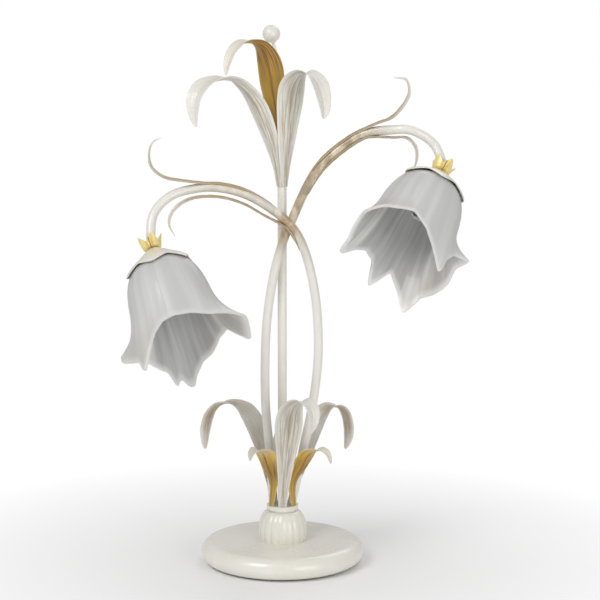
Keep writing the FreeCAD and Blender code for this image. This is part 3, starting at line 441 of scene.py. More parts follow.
@dataclass(frozen=True)
class StreakedPaint:
    """Leaf paint in lengthwise brush streaks: greige outside, white inside, whiter margins and a browned
    middle.
    """

    name: str
    white: Colour = (0.79, 0.77, 0.71)
    streak: Colour = (0.46, 0.40, 0.30)
    shadow: Colour = (0.20, 0.125, 0.06)
    gold: Colour = (0.50, 0.34, 0.12)

    def material(self) -> bpy.types.Material:
        """Mix the paint.

        Streaks are clouds drawn out along the leaf. The edges and the inner face are whiter, the
        midrib and the painted brown share are darker, and the third share turns gold.

        Returns:
            The finished material.
        """
        tree = Tree(bpy.data.materials.new(self.name))
        lay = tree.painted("lay")
        across, _, outer = tree.parts(lay)
        brown, white, gold = tree.parts(tree.painted("dress"))
        stretched = tree.drawn_out(lay, (5.0, 1.6, 3.0))
        streaks = tree.noise(stretched, 1.6, 7.0)
        fine = tree.noise(stretched, 5.0, 6.0)
        margin = tree.margin(across)
        streaky = tree.blend(tree.ramp(streaks, 0.34, 0.62), self.streak, self.white)
        streaky = tree.blend(tree.sums("MULTIPLY", tree.ramp(fine, 0.54, 0.74), 0.42), streaky, self.shadow)
        streaky = tree.blend(tree.ramp(margin, 0.66, 0.95), streaky, self.white)
        plain = tree.blend(tree.sums("MULTIPLY", tree.ramp(fine, 0.48, 0.72), 0.7), self.white, self.streak)
        gilded = tree.blend(tree.ramp(fine, 0.45, 0.62), self.gold, self.shadow)
        colour = tree.blend(outer, plain, streaky)
        colour = tree.blend(tree.sums("MULTIPLY", gold, tree.ramp(streaks, 0.25, 0.5)), colour, gilded)
        centre = tree.ramp(margin, 0.8, 0.35)
        browned = tree.sums("MULTIPLY", tree.sums("MULTIPLY", brown, centre), tree.ramp(fine, 0.36, 0.62))
        rib = tree.sums("MULTIPLY", tree.ramp(margin, 0.10, 0.0), tree.sums("MULTIPLY", outer, 0.6))
        colour = tree.blend(tree.sums("MAXIMUM", browned, rib), colour, self.shadow)
        colour = tree.blend(white, colour, self.white)
        tree.dent(tree.sums("ADD", streaks, fine), 0.0006, 0.35)
        return tree.finish(Base_Color=colour, Roughness=0.34, Coat_Weight=0.2, Coat_Roughness=0.15)


@dataclass(frozen=True)
class Gilding:
    """Brushed gold paint with brown in its folds and where the brown share lies; on the crown that share is
    painted shade on its inner wall.
    """

    name: str
    pale: Colour = (0.78, 0.55, 0.14)
    gold: Colour = (0.50, 0.29, 0.03)
    brown: Colour = (0.17, 0.055, 0.014)
    cream: Colour = (0.78, 0.75, 0.67)
    lining: float = 0.92

    def material(self) -> bpy.types.Material:
        """Mix the gilding: streaked gold, browned and creamed by the painted shares.

        Returns:
            The finished material.
        """
        tree = Tree(bpy.data.materials.new(self.name))
        lay = tree.painted("lay")
        across, _, outer = tree.parts(lay)
        brown, cream, _ = tree.parts(tree.painted("dress"))
        stretched = tree.drawn_out(lay, (5.0, 1.4, 3.0))
        streaks = tree.noise(stretched, 2.2, 6.0)
        fine = tree.clouds(420.0)
        margin = tree.margin(across)
        colour = tree.blend(tree.ramp(streaks, 0.36, 0.62), self.gold, self.pale)
        colour = tree.blend(tree.ramp(margin, 0.75, 1.0), colour, self.pale)
        rib = tree.sums("MULTIPLY", tree.ramp(margin, 0.2, 0.02), tree.sums("MULTIPLY", outer, 0.85))
        # dark: brown where the brown share lies, which on the crown is painted shade on its inner wall
        dark = tree.sums("MULTIPLY", brown, tree.ramp(streaks, 0.36, 0.58))
        colour = tree.blend(tree.sums("MAXIMUM", dark, rib), colour, self.brown)
        under = tree.sums("SUBTRACT", 1.0, outer)
        pale = tree.sums("MAXIMUM", cream, tree.sums("MULTIPLY", under, self.lining))
        colour = tree.blend(pale, colour, self.cream)
        dull = tree.sums("MAXIMUM", pale, dark)
        shine = tree.add("ShaderNodeMapRange", {0: dull, 3: 0.35, 4: 0.0}).outputs[0]
        tree.dent(tree.sums("ADD", streaks, fine), 0.0004, 0.3)
        return tree.finish(Base_Color=colour, Metallic=shine, Roughness=0.42)


@dataclass(frozen=True)
class FrostedGlass:
    """Acid-frosted glass: milky and soft, with a painted highlight at its rim and painted shade on its inner
    wall.
    """

    name: str = "frosted_flower"
    body: Colour = (0.80, 0.80, 0.79)
    # rim is the pale tone of the painted highlight at the rim, also laid on streaks along the pulled folds
    rim: Colour = (0.90, 0.90, 0.88)
    # the grey tone below is painted shade for the inner wall
    painted_inner_shade: Colour = (0.50, 0.50, 0.50)
    amber: Colour = (0.62, 0.54, 0.43)

    def material(self) -> bpy.types.Material:
        """Mix the glass: pulled folds run down it, painted shade greys its inner wall away from the rim, a
        painted highlight lightens the rim, and light soaks through.

        Returns:
            The finished material.
        """
        tree = Tree(bpy.data.materials.new(self.name))
        lay, dress = tree.painted("lay"), tree.parts(tree.painted("dress"))
        folds = tree.noise(tree.drawn_out(lay, (1.5, 0.35, 1.5)), 1.6, 5.0)
        frost = tree.clouds(900.0, 2.0)
        colour = tree.blend(tree.ramp(folds, 0.42, 0.72), self.body, self.rim)
        # painted shade: the inner wall greys away from the rim, unevenly along the folds
        shade = tree.sums("MULTIPLY", dress[0], tree.ramp(folds, 0.75, 0.35))
        colour = tree.blend(shade, colour, self.painted_inner_shade)
        colour = tree.blend(tree.sums("MULTIPLY", dress[2], 0.4), colour, self.amber)
        # painted highlight: the band at the rim turns to the pale rim tone
        colour = tree.blend(dress[1], colour, self.rim)
        tree.dent(tree.sums("ADD", folds, tree.sums("MULTIPLY", frost, 0.1)), 0.0015, 0.5)
        through = tree.add("ShaderNodeBsdfTranslucent", {"Color": colour})
        material = tree.finish(
            Base_Color=colour, Roughness=0.34, Transmission_Weight=0.12, IOR=1.45, Coat_Weight=0.5,
            Coat_Roughness=0.12)
        tree.show(0.32, tree.shader, through)
        return material


@dataclass(frozen=True)
class Plain:
    """A plain made surface with fine tone and grain, for the fittings and the base.

    Attributes:
        name: the record's slot.
        light: its colour.
        deep: its colour in the hollows of its grain.
        metal: how metallic it is.
        rough: its roughness.
        grain: how fine the grain is, in clouds to a metre.
        relief: how deep the grain is, in metres.
        clear: how much light goes through.
    """

    name: str
    light: Colour
    deep: Colour
    metal: float = 0.0
    rough: float = 0.4
    grain: float = 300.0
    relief: float = 0.0001
    clear: float = 0.0

    def material(self) -> bpy.types.Material:
        """Mix the surface: two tones mixed by clouds, which also press its grain.

        Returns:
            The finished material.
        """
        tree = Tree(bpy.data.materials.new("fitting_" + self.name))
        grain, slow = tree.clouds(self.grain), tree.clouds(40.0)
        colour = tree.blend(tree.ramp(tree.sums("MULTIPLY", grain, slow), 0.15, 0.4), self.light, self.deep)
        most = min(self.rough * 1.35, 1.0)
        rough = tree.add("ShaderNodeMapRange", {0: slow, 3: self.rough, 4: most}).outputs[0]
        tree.dent(grain, self.relief, 0.4)
        return tree.finish(
            Base_Color=colour, Metallic=self.metal, Roughness=rough, Transmission_Weight=self.clear)


FITTINGS = (
    Plain("steel", (0.56, 0.56, 0.55), (0.34, 0.33, 0.31), 1.0, 0.32),
    Plain("weight_iron", (0.09, 0.09, 0.09), (0.04, 0.035, 0.03), 0.3, 0.7, 180.0, 0.0004),
    Plain("felt", (0.030, 0.050, 0.035), (0.012, 0.022, 0.015), 0.0, 1.0, 1400.0, 0.0006),
    Plain("black_plastic", (0.030, 0.030, 0.030), (0.018, 0.018, 0.018), 0.0, 0.38, 600.0),
    Plain("white_plastic", (0.72, 0.72, 0.70), (0.62, 0.61, 0.58), 0.0, 0.35, 600.0),
    Plain("cream_plastic", (0.68, 0.63, 0.50), (0.58, 0.52, 0.40), 0.0, 0.35, 600.0),
    Plain("brass", (0.66, 0.46, 0.16), (0.40, 0.25, 0.08), 1.0, 0.28),
    Plain("gilt", (0.60, 0.41, 0.14), (0.20, 0.10, 0.03), 0.7, 0.42),
    Plain("streaked_paint", (0.74, 0.72, 0.66), (0.40, 0.35, 0.27), 0.0, 0.36),
    Plain("bulb_metal", (0.62, 0.60, 0.55), (0.45, 0.42, 0.36), 1.0, 0.3),
    Plain("clear_glass", (0.95, 0.96, 0.96), (0.92, 0.94, 0.94), 0.0, 0.02, 60.0, 0.00002, 1.0),
)


# ------------------------------------------------------------------ leaves
def leaf_section(centres: np.ndarray, side: np.ndarray, outward: np.ndarray, widths: np.ndarray,
                 bend: float, roundness: float) -> tuple[np.ndarray, np.ndarray]:
    """Carry a leaf's closed outline along its midrib.

    At share s of the half width the outer face stands back by bend times the half width and a
    softened |s|, each raised to the roundness. The inner face lies one sheet under it, and a half
    circle rounds each margin. Low ridges, a cosine of the share, make its veins, and a slow sine
    along it its hammer marks.

    Args:
        centres: the midrib.
        side: the direction across.
        outward: the way the outer face looks.
        widths: half width at each station.
        bend: how far the margins bend back.
        roundness: 1 for a folded midrib, 2 for a round trough.

    Returns:
        The points, and at each one the share across and 1 on the outer face.
    """
    share = np.linspace(-1, 1, 29)
    turn = np.linspace(0, math.pi, 5)[1:-1]
    across = np.concatenate([share, 1 + 0 * turn, share[::-1], -1 + 0 * turn])
    bulge = np.concatenate([0 * share, np.sin(turn), 0 * share, -np.sin(turn)]) * LEAF_SHEET / 2
    level = np.concatenate([0 * share, (np.cos(turn) - 1) / 2, -1 + 0 * share, (-np.cos(turn) - 1) / 2])
    least = math.sqrt(MIDRIB_SOFTNESS)
    soft = (np.sqrt(across ** 2 + MIDRIB_SOFTNESS) - least) / (math.sqrt(1 + MIDRIB_SOFTNESS) - least)
    veins = VEINS * np.cos(across * 4 * math.pi) * (1 - across ** 2)
    marks = HAMMERING * np.sin(np.arange(len(centres))[:, None] * 0.55 + across * 2.0)
    relief = (veins + marks) * np.minimum(widths, 6.0)[:, None] / 6.0
    back = (bend * widths ** roundness)[:, None] * soft ** roundness - LEAF_SHEET * level - relief
    reach = across * widths[:, None] + bulge
    points = centres[:, None] + side[:, None] * reach[..., None] - outward[:, None] * back[..., None]
    return points, np.broadcast_to(np.stack([across, 1 + level], axis=1), (*reach.shape, 2))


def dressed(points: np.ndarray, paint: np.ndarray, along: np.ndarray, tones: tuple) -> Sheet:
    """Give a leaf's grid its brush directions and its painted shares.

    Args:
        points: the grid.
        paint: share across and face at each point.
        along: distance from the root.
        tones: rows of length share, brown, white and third tone, read off in straight lines.

    Returns:
        The grid with its lay and dress.
    """
    table = np.array(tones)
    share = along / along[-1]
    dress = np.stack([np.interp(share, table[:, 0], table[:, k]) for k in (1, 2, 3)], axis=1)
    dress = np.broadcast_to(dress[:, None, :], points.shape)
    length = np.broadcast_to(along[:, None] / 100, points.shape[:2])
    return Sheet(points, np.stack([paint[..., 0], length, paint[..., 1]], axis=-1), dress)


def leaf_sheet(rows: np.ndarray, ahead: np.ndarray, across: np.ndarray, bend: float, roundness: float,
               tones: tuple) -> Sheet:
    """Turn a leaf's rows into its surface, each across made square to the way ahead.

    Args:
        rows: x, y, z and half width at each station.
        ahead: the way along the leaf.
        across: roughly the way across it.
        bend: how far its margins bend back.
        roundness: 1 for a folded midrib, 2 for a round trough.
        tones: rows of length share, brown, white and third tone.

    Returns:
        The leaf's surface.
    """
    side = unit(across - ahead * np.sum(across * ahead, axis=1, keepdims=True))
    along = run_length(rows)
    widths = rounded_tip(rows[:, 3], along)
    points, paint = leaf_section(rows[:, :3], side, np.cross(side, ahead), widths, bend, roundness)
    return dressed(points, paint, along, tones)


@dataclass(frozen=True)
class PressedLeaf:
    """One pressed sheet leaf, folded along its midrib.

    Attributes:
        name: the node that it stands for.
        root: x, y, z, half width and facing where it is brazed on.
        rows: x, y, height above the datum, half width and facing.
        datum: the height that the rows start from.
        gilt: whether it is gilded.
        tones: brown, white and third tone by length share.
    """

    name: str
    root: tuple[float, float, float, float, float]
    rows: tuple
    datum: float
    gilt: bool
    tones: tuple

    def sheet(self) -> Sheet:
        """Run the rows smoothly, each across its own facing, and leave the root straight up.

        Returns:
            The leaf's surface.
        """
        rows = np.array(self.rows, float)
        rows[:, 2] += self.datum
        rows = evenly(curve_through(np.vstack([self.root, rows]), 16), 150)
        facing = np.radians(rows[:, 4])
        ease = np.exp(-np.arange(len(rows)) / 6.0)[:, None]
        ahead = unit(slopes(rows[:, :3]) * (1 - ease) + np.array([0, 0, 1.0]) * ease)
        across = np.stack([-np.sin(facing), np.cos(facing), 0 * facing], axis=1)
        return leaf_sheet(rows, ahead, across, 0.34, 1.0, self.tones)


WHITE_TIP = ((0, 0.25, 0, 0), (0.3, 0.2, 0, 0), (0.6, 0.25, 0.1, 0), (0.82, 0.1, 0.45, 0), (1, 0.0, 0.8, 0))
BROWNED = ((0, 0.5, 0, 0), (0.3, 0.4, 0, 0.1), (0.5, 0.1, 0.3, 0.1), (0.62, 0.7, 0, 0.3), (0.85, 0.8, 0, 0.2),
           (1, 0.2, 0.6, 0))
GILT_CURL = ((0, 0.3, 0, 0), (0.22, 0.35, 0, 0), (0.42, 0.95, 0, 0), (0.55, 0.6, 0, 0), (0.64, 0.05, 0, 0),
             (0.74, 0, 0.35, 0), (1, 0, 1, 0))
GILT_TOP = ((0, 0.6, 0, 0), (0.25, 0.45, 0, 0), (0.48, 0.35, 0, 0), (0.64, 0.95, 0, 0), (0.76, 0.8, 0, 0),
            (0.85, 0.3, 0.3, 0), (1, 0, 1, 0))

ARM_TONES = ((0, 0.5, 0, 0.9), (0.4, 0.55, 0, 0.9), (0.7, 0.5, 0, 0.7), (0.9, 0.2, 0.5, 0.2), (1, 0, 0.9, 0))


def hub_root(angle: float) -> tuple[float, float, float, float, float]:
    """Find where a lower leaf stands on the hub.

    Args:
        angle: the way from the stem's middle, in degrees.

    Returns:
        x, y, z, half width and facing.
    """
    radius = LAYER * math.cos(math.radians(30)) + 7.4
    turn = math.radians(angle)
    return (radius * math.cos(turn), radius * math.sin(turn), HUB_TOP, 4.2, angle)


def stem_root(angle: float) -> tuple[float, float, float, float, float]:
    """Return where an upper leaf is brazed round the stem's top, at an angle in degrees."""
    turn = math.radians(angle)
    return (6.1 * math.cos(turn), 6.1 * math.sin(turn), STEM_TOP - 6, 3.4, angle)


LEAVES = (
    PressedLeaf("long_leaf_left", hub_root(150), (
        (-15.6, 10.5, 20, 6, 145), (-21.5, 16, 50, 9.5, 130), (-30.5, 23, 80, 12, 120),
        (-42, 29, 99, 12, 125),
        (-56, 33, 107.6, 9.5, 140), (-69.5, 37, 106.6, 8.5, 138), (-81, 40, 95.4, 8.2, 135),
        (-87, 42, 76.3, 7.4, 132), (-88.9, 43, 53.8, 2.8, 132)), HUB_TOP, False, BROWNED),
    PressedLeaf("long_leaf_front", hub_root(270), (
        (1.8, -21.5, 26, 6, 270), (4.4, -29.5, 60, 10.5, 273), (7.6, -38, 92, 15, 277),
        (10.5, -48, 114, 13.5, 283), (16.8, -59, 126.5, 10.5, 295), (25.2, -68, 129.5, 9.5, 308),
        (31.7, -74, 122.5, 9, 315), (33.4, -77, 110.5, 6.5, 315), (31, -78, 97.5, 1.5, 315)),
        HUB_TOP, False, WHITE_TIP),
    PressedLeaf("long_leaf_right", hub_root(30), (
        (16.6, 10.5, 20, 6, 35), (26.5, 16, 50, 9, 50), (36, 23, 80, 11.5, 60), (45.5, 29, 97, 11, 55),
        (56.3, 33, 104.6, 9, 45), (66.7, 37, 100.5, 8.4, 44), (72.5, 40, 87.2, 7.8, 46),
        (74, 42, 70.4, 6.6, 48),
        (71.5, 43, 53.8, 2.4, 48)), HUB_TOP, False, BROWNED),
    PressedLeaf("gilt_leaf_left", hub_root(210), (
        (-11.8, -14, 26, 5.8, 228), (-15.9, -20, 46, 10, 240), (-20.6, -27.5, 62.5, 12, 245),
        (-26.6, -35.5, 68.8, 9, 228), (-32, -41, 67, 6, 215), (-35, -43.5, 59.5, 1.5, 215)),
        HUB_TOP, True, GILT_CURL),
    PressedLeaf("gilt_leaf_right", hub_root(330), (
        (13.4, -14, 26, 5.8, 312), (21.5, -20, 46, 9.5, 300), (30, -27.5, 62.5, 10.5, 297),
        (40.3, -35.5, 69.2, 8, 312), (49, -41, 66.8, 5, 325), (53.6, -43.5, 56.2, 1.5, 325)),
        HUB_TOP, True, GILT_CURL),
    PressedLeaf("gilt_leaf_back", hub_root(90), (
        (0, 19.5, 26, 5.8, 90), (0, 26, 46, 10, 90), (0, 35, 62.5, 11, 90), (0, 45, 68.8, 8.5, 90),
        (0, 52, 66.5, 5.5, 90), (0, 55.5, 57, 1.5, 90)), HUB_TOP, True, GILT_CURL),
    PressedLeaf("top_leaf_left", stem_root(225), (
        (-6.2, -7.6, 14, 5.4, 235), (-10.2, -10.2, 35, 7.8, 248), (-17.8, -13.6, 58.8, 10, 250),
        (-27.2, -18, 81, 11, 248), (-38.8, -24, 98.3, 10, 240), (-52.4, -30, 109.3, 9.5, 234),
        (-68.3, -36, 110.2, 11, 236), (-83.1, -42, 103.9, 11.5, 238), (-91.5, -47, 92.3, 9.2, 240),
        (-93.2, -50, 77.5, 6.4, 242), (-91.5, -52, 61.6, 1.6, 242)), STEM_TOP, False, WHITE_TIP),
    PressedLeaf("top_leaf_right", stem_root(315), (
        (4.6, -9.6, 14, 5.8, 300), (5.4, -13.6, 35, 8.2, 285), (7, -17.6, 58.8, 11, 280),
        (9.4, -23, 83, 13.8, 280), (12.4, -30, 102.5, 14, 284), (19.4, -38, 115, 11.5, 300),
        (29.4, -45, 117, 10.5, 316), (38.5, -50.5, 107.3, 11, 308), (43.4, -54.5, 92.5, 9, 304),
        (45.3, -57, 79.9, 5.8, 302), (44.6, -58, 70.3, 2, 302)), STEM_TOP, False, WHITE_TIP),
    PressedLeaf("gilt_top_leaf", (0, -2.85, STEM_TOP + 2, 1.6, 270), (
        (-0.2, -3.4, 14, 2.2, 268), (-0.8, -4.2, 30, 3.6, 266), (-3.2, -6.6, 54, 6.5, 264),
        (-7, -10, 80, 10.5, 262), (-11, -14, 105, 13.5, 258), (-15, -18.5, 128, 14, 250),
        (-21.8, -24, 144, 11, 240), (-32, -29, 150, 9.5, 232), (-43, -34, 149, 9, 228),
        (-52, -38.5, 140, 7.5, 226), (-56.8, -42, 128, 5, 226), (-59.2, -44, 116, 1.4, 226)),
        STEM_TOP, True, GILT_TOP),
)


# ------------------------------------------------------------------ arms and lights
@dataclass(frozen=True)
class Shell:
    """A pulled shell, such as the glass: rings from its hole out to a rim given by its corners.

    Attributes:
        profile: radius and depth of each ring, from the hole out.
        rim: angle from the front, depth and radius of the rim's corners.
        thickness: wall.
        columns: points in each ring.
        fold: how far the wall waves between its columns' folds.
    """

    profile: tuple
    rim: tuple
    thickness: float
    columns: int
    fold: float = 0.0

    def edge(self) -> tuple[np.ndarray, np.ndarray, np.ndarray]:
        """Follow the rim: straight between its corners, then the mean of five neighbours.

        Returns:
            Angle, depth and radius of each column.
        """
        corners = np.array(self.rim, float)
        angle = np.arange(self.columns) * 360 / self.columns
        around = np.concatenate([corners[:, 0] - 360, corners[:, 0], corners[:, 0] + 360])
        values = [np.interp(angle, around, np.tile(corners[:, k], 3)) for k in (1, 2)]
        depth, radius = (sum(np.roll(v, k) for k in range(-2, 3)) / 5 for v in values)
        return np.radians(angle), depth, radius

    def rings(self, steps: int) -> tuple[np.ndarray, np.ndarray, np.ndarray]:
        """Work out every ring and column.

        The flare is a quadratic pull from the last ring to the rim, leaving along the last slope
        for 0.6 of the way down. Soft folds, a cosine of the angle, grow towards the rim.

        Args:
            steps: rings in the flare.

        Returns:
            Radius and depth of each point, and the angle of each column.
        """
        angle, depth, radius = self.edge()
        rows = curve_through(np.array(self.profile, float), 5)
        r0, d0 = rows[-1]
        slope = (self.profile[-1][0] - self.profile[-2][0]) / (self.profile[-1][1] - self.profile[-2][1])
        t = np.linspace(0, 1, steps + 1)[1:, None]
        pull = d0 + (depth - d0) * 0.6
        pull_r = r0 + (pull - d0) * slope
        flare_r = (1 - t) ** 2 * r0 + 2 * t * (1 - t) * pull_r + t * t * radius
        flare_d = (1 - t) ** 2 * d0 + 2 * t * (1 - t) * pull + t * t * depth
        wide = np.ones_like(angle)
        r = np.vstack([rows[:, :1] * wide, flare_r])
        d = np.vstack([rows[:, 1:] * wide, flare_d])
        grow = np.clip((np.arange(len(r)) / (len(r) - 1) - 0.25) / 0.75, 0, 1)[:, None] ** 1.5
        r = r - self.fold * grow * (0.5 + 0.5 * np.cos(17 * angle + 1.3 * np.sin(3 * angle)))
        return r, d, angle

    def sheet(self, place: "Light", steps: int, amber: float = 0.0) -> Sheet:
        """Close the shell's surface: outer wall, a rounded rim, and the inner wall back, with painted shade
        on the inner wall and a rim band in its dress.

        Args:
            place: the light that it hangs from.
            steps: rings in its flare.
            amber: how tinted its rim is.

        Returns:
            The surface.
        """
        r, d, angle = self.rings(steps)
        outer = place.hang(r, d, angle)
        down = np.gradient(outer, axis=0)
        round_it = np.roll(outer, -1, axis=1) - np.roll(outer, 1, axis=1)
        normal = unit(np.cross(down, round_it))
        radial = place.hang(r + 1, d, angle) - outer
        normal = normal * np.sign(np.sum(normal * radial, axis=(1, 2)).sum())
        inner = outer - normal * self.thickness
        lip = (outer[-1] + inner[-1]) / 2 + unit(down[-1]) * self.thickness * 0.2
        points = np.concatenate([outer, lip[None], inner[::-1]])
        rows = len(r)
        level = np.concatenate([np.arange(rows), [rows], np.arange(rows)[::-1]]) / rows
        # near: the band at the rim, a painted highlight on the glass and cream on the crown
        near = np.clip((level - 0.9) / 0.1, 0, 1)
        # under: painted shade on the inner wall away from the rim, grey in the glass and brown in the crown
        under = np.concatenate([np.zeros(rows + 1), np.clip((1 - level[rows + 1:]) / 0.12, 0, 1)])
        patch = np.clip(np.sin(2 * angle + 3.4), 0, 1) * np.clip((level - 0.6) / 0.3, 0, 1)[:, None]
        zero = np.zeros(points.shape[:2])
        lay = [zero + np.sin(angle / 2) * 4, zero + level[:, None], zero + np.cos(angle / 2) * 4]
        dress = [zero + under[:, None], zero + near[:, None], patch * amber]
        lay, dress = np.stack(lay, axis=-1), np.stack(dress, axis=-1)
        return Sheet(points, lay, dress, ring=True)


@dataclass(frozen=True)
class Sheath:
    """A slim leaf that lies along an arm and then curls free.

    Attributes:
        name: the node that it stands for.
        sign: 1 above the arm, -1 under it.
        start: where it starts, as a share of the arm.
        lift: where it leaves the arm.
        free: x, height above the hub, forward, half width of its free curl.
    """

    name: str
    sign: int
    start: float
    lift: float
    free: tuple

    def sheet(self, arm: np.ndarray) -> Sheet:
        """Lay the leaf along its arm, where seven marks rise to 6.4 mm off the arm's line, then free.

        The way across is carried along the line by adding up its turns, so it never flips.

        Args:
            arm: the arm's middle line.

        Returns:
            The leaf's surface.
        """
        marks = read_off(np.hstack([arm, slopes(arm)]), np.linspace(self.start, self.lift, 7))
        ahead = marks[:, 3:]
        up = unit(np.array([0, 0, 1.0]) - ahead * ahead[:, 2:3]) * self.sign
        rise = np.minimum(1, np.arange(7) / 3)[:, None]
        held = np.column_stack([marks[:, :3] + up * (5.3 + 1.1 * rise), 0.5 + 3.9 * rise])
        x, height, forward, half = np.array(self.free, float).T
        rows = np.vstack([held, np.column_stack([x, -forward, height + HUB_TOP, half])])
        rows = evenly(curve_through(rows, 12), 170)
        ahead = slopes(rows[:, :3])
        turn = np.cross(np.roll(ahead, 1, axis=0), ahead)
        turn[0] = 0
        first = np.cross(ahead[0], [0, 0, self.sign])
        across = unit(first + np.cross(np.cumsum(turn, axis=0), first))
        return leaf_sheet(rows, ahead, across, 0.1, 2.0, ARM_TONES)


@dataclass(frozen=True)
class Light:
    """One arm and the light at its end.

    Attributes:
        side: left or right.
        foot: x where the arm leaves the hub.
        route: x, height above the hub, layers forward and further reach.
        end: the same for the arm's end.
        lean: lean of the light towards the stem, in degrees.
        tilt: its tilt to the front.
        rim: the glass rim's corners.
        leaves: the slim leaves on the arm.
        body: the body that the glass rides on.
        rubbed: how much gold shows where the leaves lie on the arm.
    """

    side: str
    foot: float
    route: tuple
    end: tuple
    lean: float
    tilt: float
    rim: tuple
    leaves: tuple
    body: Body
    rubbed: float

    def way(self) -> np.ndarray:
        """Return the direction that the light points."""
        lean, tilt = math.radians(self.lean), math.radians(self.tilt)
        return np.array([math.sin(lean), -math.cos(lean) * math.sin(tilt), -math.cos(lean) * math.cos(tilt)])

    def point(self, row: tuple) -> np.ndarray:
        """Return a route row as a place: each layer is one LAYER nearer to the front."""
        x, height, layers, reach = row
        return np.array([x, -layers * LAYER - reach, HUB_TOP + height])

    def line(self) -> np.ndarray:
        """Draw the arm's middle line at even steps, ending straight along the light.

        Returns:
            Its points.
        """
        end = self.point(self.end)
        foot = np.array([self.foot, 0.0, HUB_TOP])
        places = [foot] + [self.point(row) for row in self.route] + [end - self.way() * 8, end]
        return evenly(curve_through(np.array(places), 14), 260)

    def hang(self, radius: np.ndarray, depth: np.ndarray, angle: np.ndarray) -> np.ndarray:
        """Turn places in the light's own frame into the lamp's.

        Args:
            radius: distance from the light's axis.
            depth: distance down it.
            angle: angle round it from the front.

        Returns:
            x, y and z of each place.
        """
        way = self.way()
        front = np.array([0, -1.0, 0])
        front = unit(front - way * front.dot(way))
        side = np.cross(front, way)
        round_it = np.cos(angle)[..., None] * front + np.sin(angle)[..., None] * side
        return self.point(self.end) + depth[..., None] * way + radius[..., None] * round_it

    def tube(self) -> Sheet:
        """Carry a circle along the line, square to it.

        The glaze is a bell curve of the height about the place where the arms cross, and lies
        again where the leaves are held.

        Returns:
            The tube's surface.
        """
        line = self.line()
        ahead = slopes(line)
        across = unit(np.cross(ahead, np.array([0.0, 1.0, 0.0])))
        third = np.cross(across, ahead)
        angle = np.linspace(0, 2 * math.pi, 24, endpoint=False)[None, :, None]
        ring = np.cos(angle) * across[:, None, :] + np.sin(angle) * third[:, None, :]
        sheet = bare(line[:, None, :] + TUBE_RADIUS * ring)
        glaze = np.exp(-((line[:, 2] - CROSSING) / 22) ** 2) * np.exp(-(line[:, 0] / 26) ** 2)
        held = np.interp(np.linspace(0, 1, len(line)), (0.5, 0.58, 0.76, 0.86), (0.0, 1.0, 1.0, 0.0))
        sheet.dress[..., 0] = np.maximum(glaze, held * self.rubbed)[:, None]
        return sheet

    def make(self, paints: "Paints") -> None:
        """Build the tube, crown, calyx, glass and slim leaves, and dress them.

        Args:
            paints: the mixed materials.
        """
        flower = Shell(GLASS_PROFILE, self.rim, GLASS_WALL, 360, 0.5).sheet(self, 40, 0.8)
        for body, node, slot, name, sheet, paint in (
                (Body.LAMP, "arm_tube", "ivory_paint", "arm", self.tube(), paints.tube),
                (Body.LAMP, "crown", "gilt", "gilt_crown", CROWN.sheet(self, 12), paints.crown),
                (Body.LAMP, "calyx", "ivory_paint", "white_calyx", CALYX.sheet(self, 10), paints.enamel),
                (self.body, "glass_shade", "frosted_glass", "flower_glass", flower, paints.glass)):
            stand_in(body, f"{self.side}_{node}", f"{self.side}_{name}", sheet, paint)
        for leaf in self.leaves:
            sheet = leaf.sheet(self.line())
            stand_in(Body.LAMP, leaf.name, f"{leaf.name}_curl", sheet, paints.leaf)


def lobes(tips: tuple, valleys: tuple, tip: tuple, valley: tuple) -> tuple:
    """Return a scalloped rim's corners, a tip or a valley (depth and radius) at each of their angles."""
    return tuple(sorted([(a, *tip) for a in tips] + [(a, *valley) for a in valleys]))


CROWN = Shell(
    ((3.75, 0), (7.5, 0), (9.8, -1.2), (10.5, -3.8)),
    lobes((20, 92, 164, 236, 308), (56, 128, 200, 272, 344), (-14.5, 14), (-6, 11)),
    METAL_WALL, 180)
CALYX = Shell(
    ((3.75, 0.8), (6, 0.8), (14, 6.6), (22, 13), (28, 17.4)),
    lobes((0, 60, 120, 180, 240, 300), (30, 90, 150, 210, 270, 330), (30.2, 39.6), (22.0, 33.2)),
    METAL_WALL, 180)
GLASS_PROFILE = ((14.5, 17.8), (21.5, 17.8), (29, 22.6), (35.5, 30), (40.5, 41), (43.6, 54), (45.4, 67))

RIGHT = Light(
    "right", -10.3, (
        (-14.4, 64.6, 1, 0), (-18.5, 115, 1, 0), (-19, 165, 1, 0), (-16.6, 213, 1, 0), (-9.6, 260, 1, 0),
        (0.5, 297.7, 1, 0), (12.1, 325.8, 1, 0), (25.3, 355.2, 1, 1), (42.8, 382.6, 1, 2.5),
        (65.7, 403.5, 1, 4), (90.6, 418.3, 1, 7.5), (119.2, 422.6, 1, 13), (142.1, 421.8, 1, 18),
        (165.2, 407, 1, 16.5)),
    (170.5, 378.4, 1, 36), -23.5, 39.7, (
        (9, 103, 52), (30, 122, 54), (42, 138, 60), (51, 114, 54), (62, 98, 56), (75, 91, 70), (86, 99, 60),
        (94, 113, 61), (104, 120, 60), (132, 126, 61), (145, 145, 66), (158, 125, 58), (174, 109, 53),
        (188, 132, 64), (200, 108, 54), (213, 103, 56), (226, 112, 59), (237, 128, 66), (254, 121, 58),
        (270, 99, 57), (293, 97, 57), (310, 93, 54), (328, 92, 52), (346, 90, 52)),
    (Sheath("right_arm_upper_leaf", 1, 0.63, 0.78, (
        (103.5, 431.4, 21, 4.6), (117.6, 436.9, 19.5, 4.8), (129.4, 448.8, 20, 5), (136.7, 462.8, 20.5, 4.8),
        (134, 475.7, 21, 3.4), (121, 478.6, 21.5, 1))),
     Sheath("right_arm_lower_leaf", -1, 0.63, 0.80, (
         (121, 413, 21, 3.9), (135, 412.8, 24, 3.8), (144, 403.7, 28, 3.4), (145.1, 390.3, 31, 2.6),
         (141.2, 378.5, 33, 1)))),
    Body.RIGHT_SHADE, 0.75)

